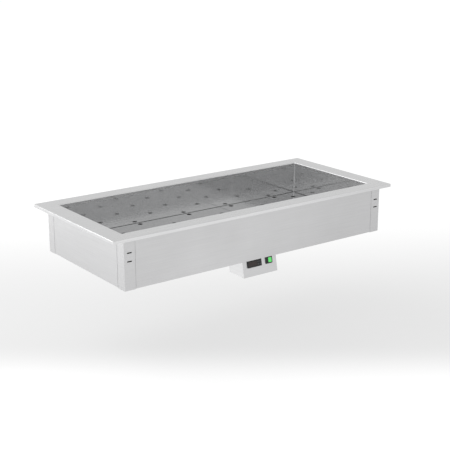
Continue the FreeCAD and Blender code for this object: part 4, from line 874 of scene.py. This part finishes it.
def turned(tree, outline, sides):
    """Turns an outline of (radius, height) points about Z, listed from its top outwards and down."""
    reach = max(radius for radius, height in outline)
    profile = polyline(tree, [(radius - reach, -height, 0.0) for radius, height in outline])
    return put(tree, "GeometryNodeMergeByDistance",
               {"Geometry": swept(tree, circle_of(tree, reach, sides), profile),
                "Distance": POINTS_MEET}).outputs[0]


def less(tree, body, *cutters):
    """Cuts closed meshes out of a closed mesh, one after the other."""
    for cutter in cutters:
        body = put(tree, "GeometryNodeMeshBoolean", {0: body, 1: cutter}, operation="DIFFERENCE").outputs[0]
    return body


print("turning helpers:", turned.__name__, less.__name__)

# %% [markdown]
# ### Screws
# The solids of the screws are plain. These have a domed pan head with a cross
# recess. The cross could be drawn as bump, but it is a real hollow on the
# real screw, so a Mesh Boolean cuts it. Each screw is turned by its own
# chance angle with a fixed seed, since nobody lines screws up.

# %% Screw tree
SCREW_OUTLINE = in_mm((0, 2.4), (1.2, 2.36), (2.3, 2.12), (3.2, 1.6), (3.8, 0.8), (4, 0.2), (4, 0),
                      (2, 0), (2, -7.4), (1.3, -8), (0, -8))
SCREW_TOP = SCREW_OUTLINE[0][1]
SCREW_SIDES = 24
CHANCE_SEED = 7

screw_tree, screw = start_tree("pan_head_screws", {"Heads Down Below": "Float", "Recess Length": "Float",
                                                   "Recess Width": "Float", "Recess Depth": "Float"})
head = turned(screw_tree, SCREW_OUTLINE, SCREW_SIDES)
cuts = []
for long_side, short_side in (("X", "Y"), ("Y", "X")):
    size = put(screw_tree, "ShaderNodeCombineXYZ",
               {long_side: screw["Recess Length"], short_side: screw["Recess Width"],
                "Z": maths(screw_tree, "MULTIPLY", screw["Recess Depth"], 2.0)}).outputs[0]
    cube = put(screw_tree, "GeometryNodeMeshCube", {"Size": size}).outputs[0]
    cuts.append(moved(screw_tree, cube, (0, 0, SCREW_TOP)))
head = less(screw_tree, head, *cuts)
seat_height = put(screw_tree, "ShaderNodeSeparateXYZ",
                  {0: put(screw_tree, "GeometryNodeInputPosition").outputs[0]}).outputs["Z"]
is_down = maths(screw_tree, "LESS_THAN", seat_height, screw["Heads Down Below"])
chance = put(screw_tree, "FunctionNodeRandomValue", {2: 0.0, 3: math.pi, "Seed": CHANCE_SEED},
             data_type="FLOAT").outputs[1]
turn = vector_of(screw_tree, maths(screw_tree, "MULTIPLY", is_down, math.pi), 0.0, chance)
end_tree(screw_tree, placed(screw_tree, screw["Geometry"], head, Rotation=turn), "screw_steel")

# %% [markdown]
# ### Where the screws sit
# A list of places could be copied from the drawing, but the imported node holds
# them already: each island of its mesh is one screw, and the end of its wide
# part nearest the middle is where its head rests.


# %% Find the seats
WIDE_PART_RADIUS = 3.0 * MM


def islands(node):
    """The points of each separate solid of a node, with the split corners joined again."""
    work = bmesh.new()
    work.from_mesh(frame["nodes"][node].data)
    bmesh.ops.remove_doubles(work, verts=work.verts, dist=POINTS_MEET)
    found, seen = [], set()
    for start in work.verts:
        if start in seen:
            continue
        seen.add(start)
        waiting, points = [start], []
        while waiting:
            corner = waiting.pop()
            points.append(corner.co.copy())
            for edge in corner.link_edges:
                other = edge.other_vert(corner)
                if other not in seen:
                    seen.add(other)
                    waiting.append(other)
        found.append(points)
    work.free()
    return found


def screw_seat(points):
    """Where a screw's head rests: the end of its wide part that is nearer the island's middle."""
    x = (min(p.x for p in points) + max(p.x for p in points)) / 2
    y = (min(p.y for p in points) + max(p.y for p in points)) / 2
    wide = [p.z for p in points if math.hypot(p.x - x, p.y - y) > WIDE_PART_RADIUS]
    middle = (min(p.z for p in points) + max(p.z for p in points)) / 2
    return (x, y, min(wide, key=lambda z: abs(z - middle)))


SCREW_SEATS = [screw_seat(points) for points in islands("screws")]
print("screws:", len(SCREW_SEATS))

# %% [markdown]
# ### All screws at once
# One run of the tree on a mesh with a loose point at every seat makes them
# all. The lowest screws are driven in from below, so under a given height the
# heads point down.

# %% Make the screws
HEADS_DOWN_BELOW = -202.5 * MM

screws = grown("pan_head_screws", screw_tree, {
    "Heads Down Below": HEADS_DOWN_BELOW, "Recess Length": 4.4 * MM, "Recess Width": 0.9 * MM,
    "Recess Depth": 1.3 * MM}, SCREW_SEATS)
print("volume:", round(volume_of(screws.data) * 1e9), "mm3")
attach(screws, "well")
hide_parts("screws")

# %% [markdown]
# ### The gland's nuts
# A cable gland is tightened by hand, so its dome nut has ribs round it. The
# lock nut behind the wall is a hexagon with a round hole. Knurling could be
# bump on a round nut, but ribs change the outline, so they are cylinders on a
# ring of points. Both nuts are turned about Z and then laid along Y, the
# gland's own axis.

# %% Gland nuts tree
DOME_LENGTH = 16.0
DOME_RADIUS = 11.8
THREAD_RADIUS = 10.1
CABLE_RADIUS = 5.0
DOME_OUTLINE = in_mm((CABLE_RADIUS, DOME_LENGTH), (7.0, DOME_LENGTH), (8.6, 15.7), (10.2, 14.8),
                     (11.3, 13.3), (DOME_RADIUS, 11.5), (DOME_RADIUS, 0.4), (11.4, 0),
                     (THREAD_RADIUS, 0), (THREAD_RADIUS, 8), (CABLE_RADIUS, 8), (CABLE_RADIUS, DOME_LENGTH))
NUT_OUTLINE = in_mm((0, 5), (13.0, 5), (13.85, 4.4), (13.85, 0.6), (13.0, 0), (0, 0))
DOME_SIDES = 48
RIB_SIDES = 10
NUT_SIDES = 6
BORE_SIDES = 32
BORE_LENGTH = 20 * MM
RIB_START = 0.3 * MM

gland_tree, gland = start_tree("gland_nuts", {"Dome Offset": "Float", "Nut Offset": "Float", "Ribs": "Int",
                                              "Rib Radius": "Float", "Rib Length": "Float"})
dome = turned(gland_tree, DOME_OUTLINE, DOME_SIDES)
rib = put(gland_tree, "GeometryNodeMeshCylinder",
          {"Vertices": RIB_SIDES, "Radius": gland["Rib Radius"], "Depth": gland["Rib Length"]}).outputs[0]
rib_ring = put(gland_tree, "GeometryNodeMeshCircle",
               {"Vertices": gland["Ribs"], "Radius": DOME_RADIUS * MM}).outputs[0]
rib_middle = maths(gland_tree, "ADD", maths(gland_tree, "MULTIPLY", gland["Rib Length"], 0.5), RIB_START)
ribs = moved(gland_tree, placed(gland_tree, rib_ring, rib), vector_of(gland_tree, z=rib_middle))
hexagon = turned(gland_tree, NUT_OUTLINE, NUT_SIDES)
bore = put(gland_tree, "GeometryNodeMeshCylinder",
           {"Vertices": BORE_SIDES, "Radius": THREAD_RADIUS * MM, "Depth": BORE_LENGTH}).outputs[0]
lock_nut = less(gland_tree, hexagon, bore)
both_nuts = gathered(gland_tree, [
    moved(gland_tree, gathered(gland_tree, [dome, ribs]), vector_of(gland_tree, z=gland["Dome Offset"])),
    moved(gland_tree, lock_nut, vector_of(gland_tree, z=gland["Nut Offset"]))])
laid = spun(gland_tree, both_nuts, (-math.pi / 2, 0, 0))
end_tree(gland_tree, placed(gland_tree, gland["Geometry"], laid), "gland_plastic")

# %% [markdown]
# ### The nuts in their place
# The place could be typed in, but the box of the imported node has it: the lock
# nut starts at one end and the dome nut ends at the other, so both follow the
# gland if it moves.

# %% Make the gland's nuts
gland_low, gland_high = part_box("gland_nuts")
gland_start = Vector(((gland_low.x + gland_high.x) / 2, gland_low.y, (gland_low.z + gland_high.z) / 2))
gland_nuts = grown("ribbed_gland_nuts", gland_tree, {
    "Dome Offset": gland_high.y - gland_low.y - DOME_LENGTH * MM, "Nut Offset": 0.0, "Ribs": 14,
    "Rib Radius": 0.9 * MM, "Rib Length": 10.5 * MM}, [gland_start])
print("gland nuts volume:", round(volume_of(gland_nuts.data) * 1e9), "mm3")
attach(gland_nuts, "well")
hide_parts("gland_nuts")

# %% [markdown]
# ### The stud's thread
# The stud for the earth wire has a thread. Rings side by side would look much
# the same, but a real thread climbs. So it is a thin round bar wound in a
# spiral on the stud: the Spiral node gives the path, and a small circle is
# swept along it.

# %% Thread tree
TURN_STEPS = 24
RIDGE_SIDES = 6

thread_tree, thread = start_tree("wound_thread", {"Radius": "Float", "Length": "Float", "Turns": "Float",
                                                  "Ridge": "Float", "Rotation": "Vector"})
spiral = put(thread_tree, "GeometryNodeCurveSpiral", {
    "Resolution": TURN_STEPS, "Rotations": thread["Turns"], "Start Radius": thread["Radius"],
    "End Radius": thread["Radius"], "Height": thread["Length"]}).outputs[0]
wound = swept(thread_tree, spiral, circle_of(thread_tree, thread["Ridge"], RIDGE_SIDES), caps=True)
aimed = spun(thread_tree, wound, thread["Rotation"])
end_tree(thread_tree, placed(thread_tree, thread["Geometry"], aimed), "zinc_steel")

# %% [markdown]
# ### The thread in its place
# The thread lies along the stud's own axis and ends just short of its tip.
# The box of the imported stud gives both.

# %% Make the stud's thread
THREAD_START = 12.6 * MM

stud_low, stud_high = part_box("bonding_stud")
stud_start = ((stud_low.x + stud_high.x) / 2, stud_high.y - THREAD_START, (stud_low.z + stud_high.z) / 2)
stud_thread = grown("stud_thread", thread_tree, {
    "Radius": 2.95 * MM, "Length": 12 * MM, "Turns": 12.0, "Ridge": 0.3 * MM,
    "Rotation": (-math.pi / 2, 0, 0)}, [stud_start])
print("stud thread volume:", round(volume_of(stud_thread.data) * 1e9), "mm3")
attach(stud_thread, "well")

# %% [markdown]
# ## The dark display and its keys
# Behind the smoked window the unlit segments of three digits just show. A
# picture of them would need a map, and seven flat bars need none: three lie
# level, four stand upright, and a line of points repeats them for each digit.
# The panel leans back by 11 degrees, so its upward and outward directions are
# kept as vectors, and the middle of a piece's front face is measured along
# them.

# %% Panel directions
TILT = math.radians(11.0)
PANEL_OUTWARD = Vector((0, -math.cos(TILT), math.sin(TILT)))
PANEL_UP = Vector((0, math.sin(TILT), math.cos(TILT)))
ON_PANEL = (math.pi / 2 - TILT, 0, 0)


def face_middle(node):
    """The middle of the front face of a piece on the panel."""
    corners = [corner.co for corner in frame["nodes"][node].data.vertices]
    ups = [corner.dot(PANEL_UP) for corner in corners]
    x = (min(c.x for c in corners) + max(c.x for c in corners)) / 2
    depth = max(corner.dot(PANEL_OUTWARD) for corner in corners)
    return Vector((x, 0, 0)) + PANEL_UP * (min(ups) + max(ups)) / 2 + PANEL_OUTWARD * depth


print("window's middle:", [round(v, 4) for v in face_middle("display_window")])

# %% [markdown]
# ### Three unlit digits
# One bar is made once and copied: level on a line of three points, upright on
# a grid of two by two. Text could write digits too, but a font has rounder
# shapes, and an unlit display shows all seven bars of every digit.

# %% Digits tree
BAR_SIDES = 6

digit_tree, digit = start_tree("unlit_digits", {"Digits": "Int", "Pitch": "Float", "Half Width": "Float",
                                                "Half Height": "Float", "Bar": "Vector"})
bar = put(digit_tree, "GeometryNodeMeshCylinder",
          {"Vertices": BAR_SIDES, "Radius": 1.0, "Depth": 1.0}).outputs[0]
level_bar = put(digit_tree, "GeometryNodeTransform", {"Geometry": bar, "Scale": digit["Bar"]}).outputs[0]
upright_bar = spun(digit_tree, level_bar, (0, 0, math.pi / 2))
lowest_level = vector_of(digit_tree, y=maths(digit_tree, "MULTIPLY", digit["Half Height"], -1.0))
levels = put(digit_tree, "GeometryNodeMeshLine",
             {"Count": 3, "Start Location": lowest_level,
              "Offset": vector_of(digit_tree, y=digit["Half Height"])}).outputs[0]
uprights = put(digit_tree, "GeometryNodeMeshGrid",
               {"Size X": maths(digit_tree, "MULTIPLY", digit["Half Width"], 2.0),
                "Size Y": digit["Half Height"], "Vertices X": 2, "Vertices Y": 2}).outputs[0]
one_digit = gathered(digit_tree, [placed(digit_tree, levels, level_bar),
                                  placed(digit_tree, uprights, upright_bar)])
line_start = maths(digit_tree, "MULTIPLY", maths(digit_tree, "SUBTRACT", digit["Digits"], 1.0),
                   maths(digit_tree, "MULTIPLY", digit["Pitch"], -0.5))
digit_line = put(digit_tree, "GeometryNodeMeshLine",
                 {"Count": digit["Digits"], "Start Location": vector_of(digit_tree, line_start),
                  "Offset": vector_of(digit_tree, digit["Pitch"])}).outputs[0]
on_slope = spun(digit_tree, placed(digit_tree, digit_line, one_digit), ON_PANEL)
end_tree(digit_tree, placed(digit_tree, digit["Geometry"], on_slope), "display_segment")

# %% [markdown]
# ### The digits in the window
# On the real display they lie behind the smoked window. Here they lie on its
# front face, hardly raised and only a little paler, which looks the same and
# needs no clear window.

# %% Make the digits
digits = grown("unlit_digits", digit_tree, {
    "Digits": 3, "Pitch": 12.5 * MM, "Half Width": 3.4 * MM, "Half Height": 5.6 * MM,
    "Bar": (2.9 * MM, 0.75 * MM, 0.12 * MM)}, [face_middle("display_window")])
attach(digits, "well")

# %% [markdown]
# ### Marks on the keys
# Each key carries a plain raised mark: an arrow up, an arrow down, a square
# and a dot. Text or pictures could make them, but they are simple shapes, so
# one tree makes a flat prism with any number of sides. Each mark rides on its
# own key, so it moves when the key is pressed.

# %% Key marks
KEY_MARK_THICKNESS = 0.24 * MM
KEY_MARKS = {
    "up": {"Sides": 3, "Radius": 1.7 * MM, "Turn": math.radians(90)},
    "down": {"Sides": 3, "Radius": 1.7 * MM, "Turn": math.radians(-90)},
    "set": {"Sides": 4, "Radius": 1.5 * MM, "Turn": math.radians(45)},
    "light": {"Sides": 20, "Radius": 1.2 * MM, "Turn": 0.0},
}

mark_tree, mark = start_tree("key_mark", {"Sides": "Int", "Radius": "Float", "Turn": "Float"})
prism = put(mark_tree, "GeometryNodeMeshCylinder",
            {"Vertices": mark["Sides"], "Radius": mark["Radius"], "Depth": KEY_MARK_THICKNESS}).outputs[0]
stood = spun(mark_tree, spun(mark_tree, prism, vector_of(mark_tree, z=mark["Turn"])), ON_PANEL)
end_tree(mark_tree, placed(mark_tree, mark["Geometry"], stood), "key_print")

for key, values in KEY_MARKS.items():
    key_mark = grown("key_mark_" + key, mark_tree, values, [face_middle("key_" + key)])
    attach(key_mark, key + "_key")
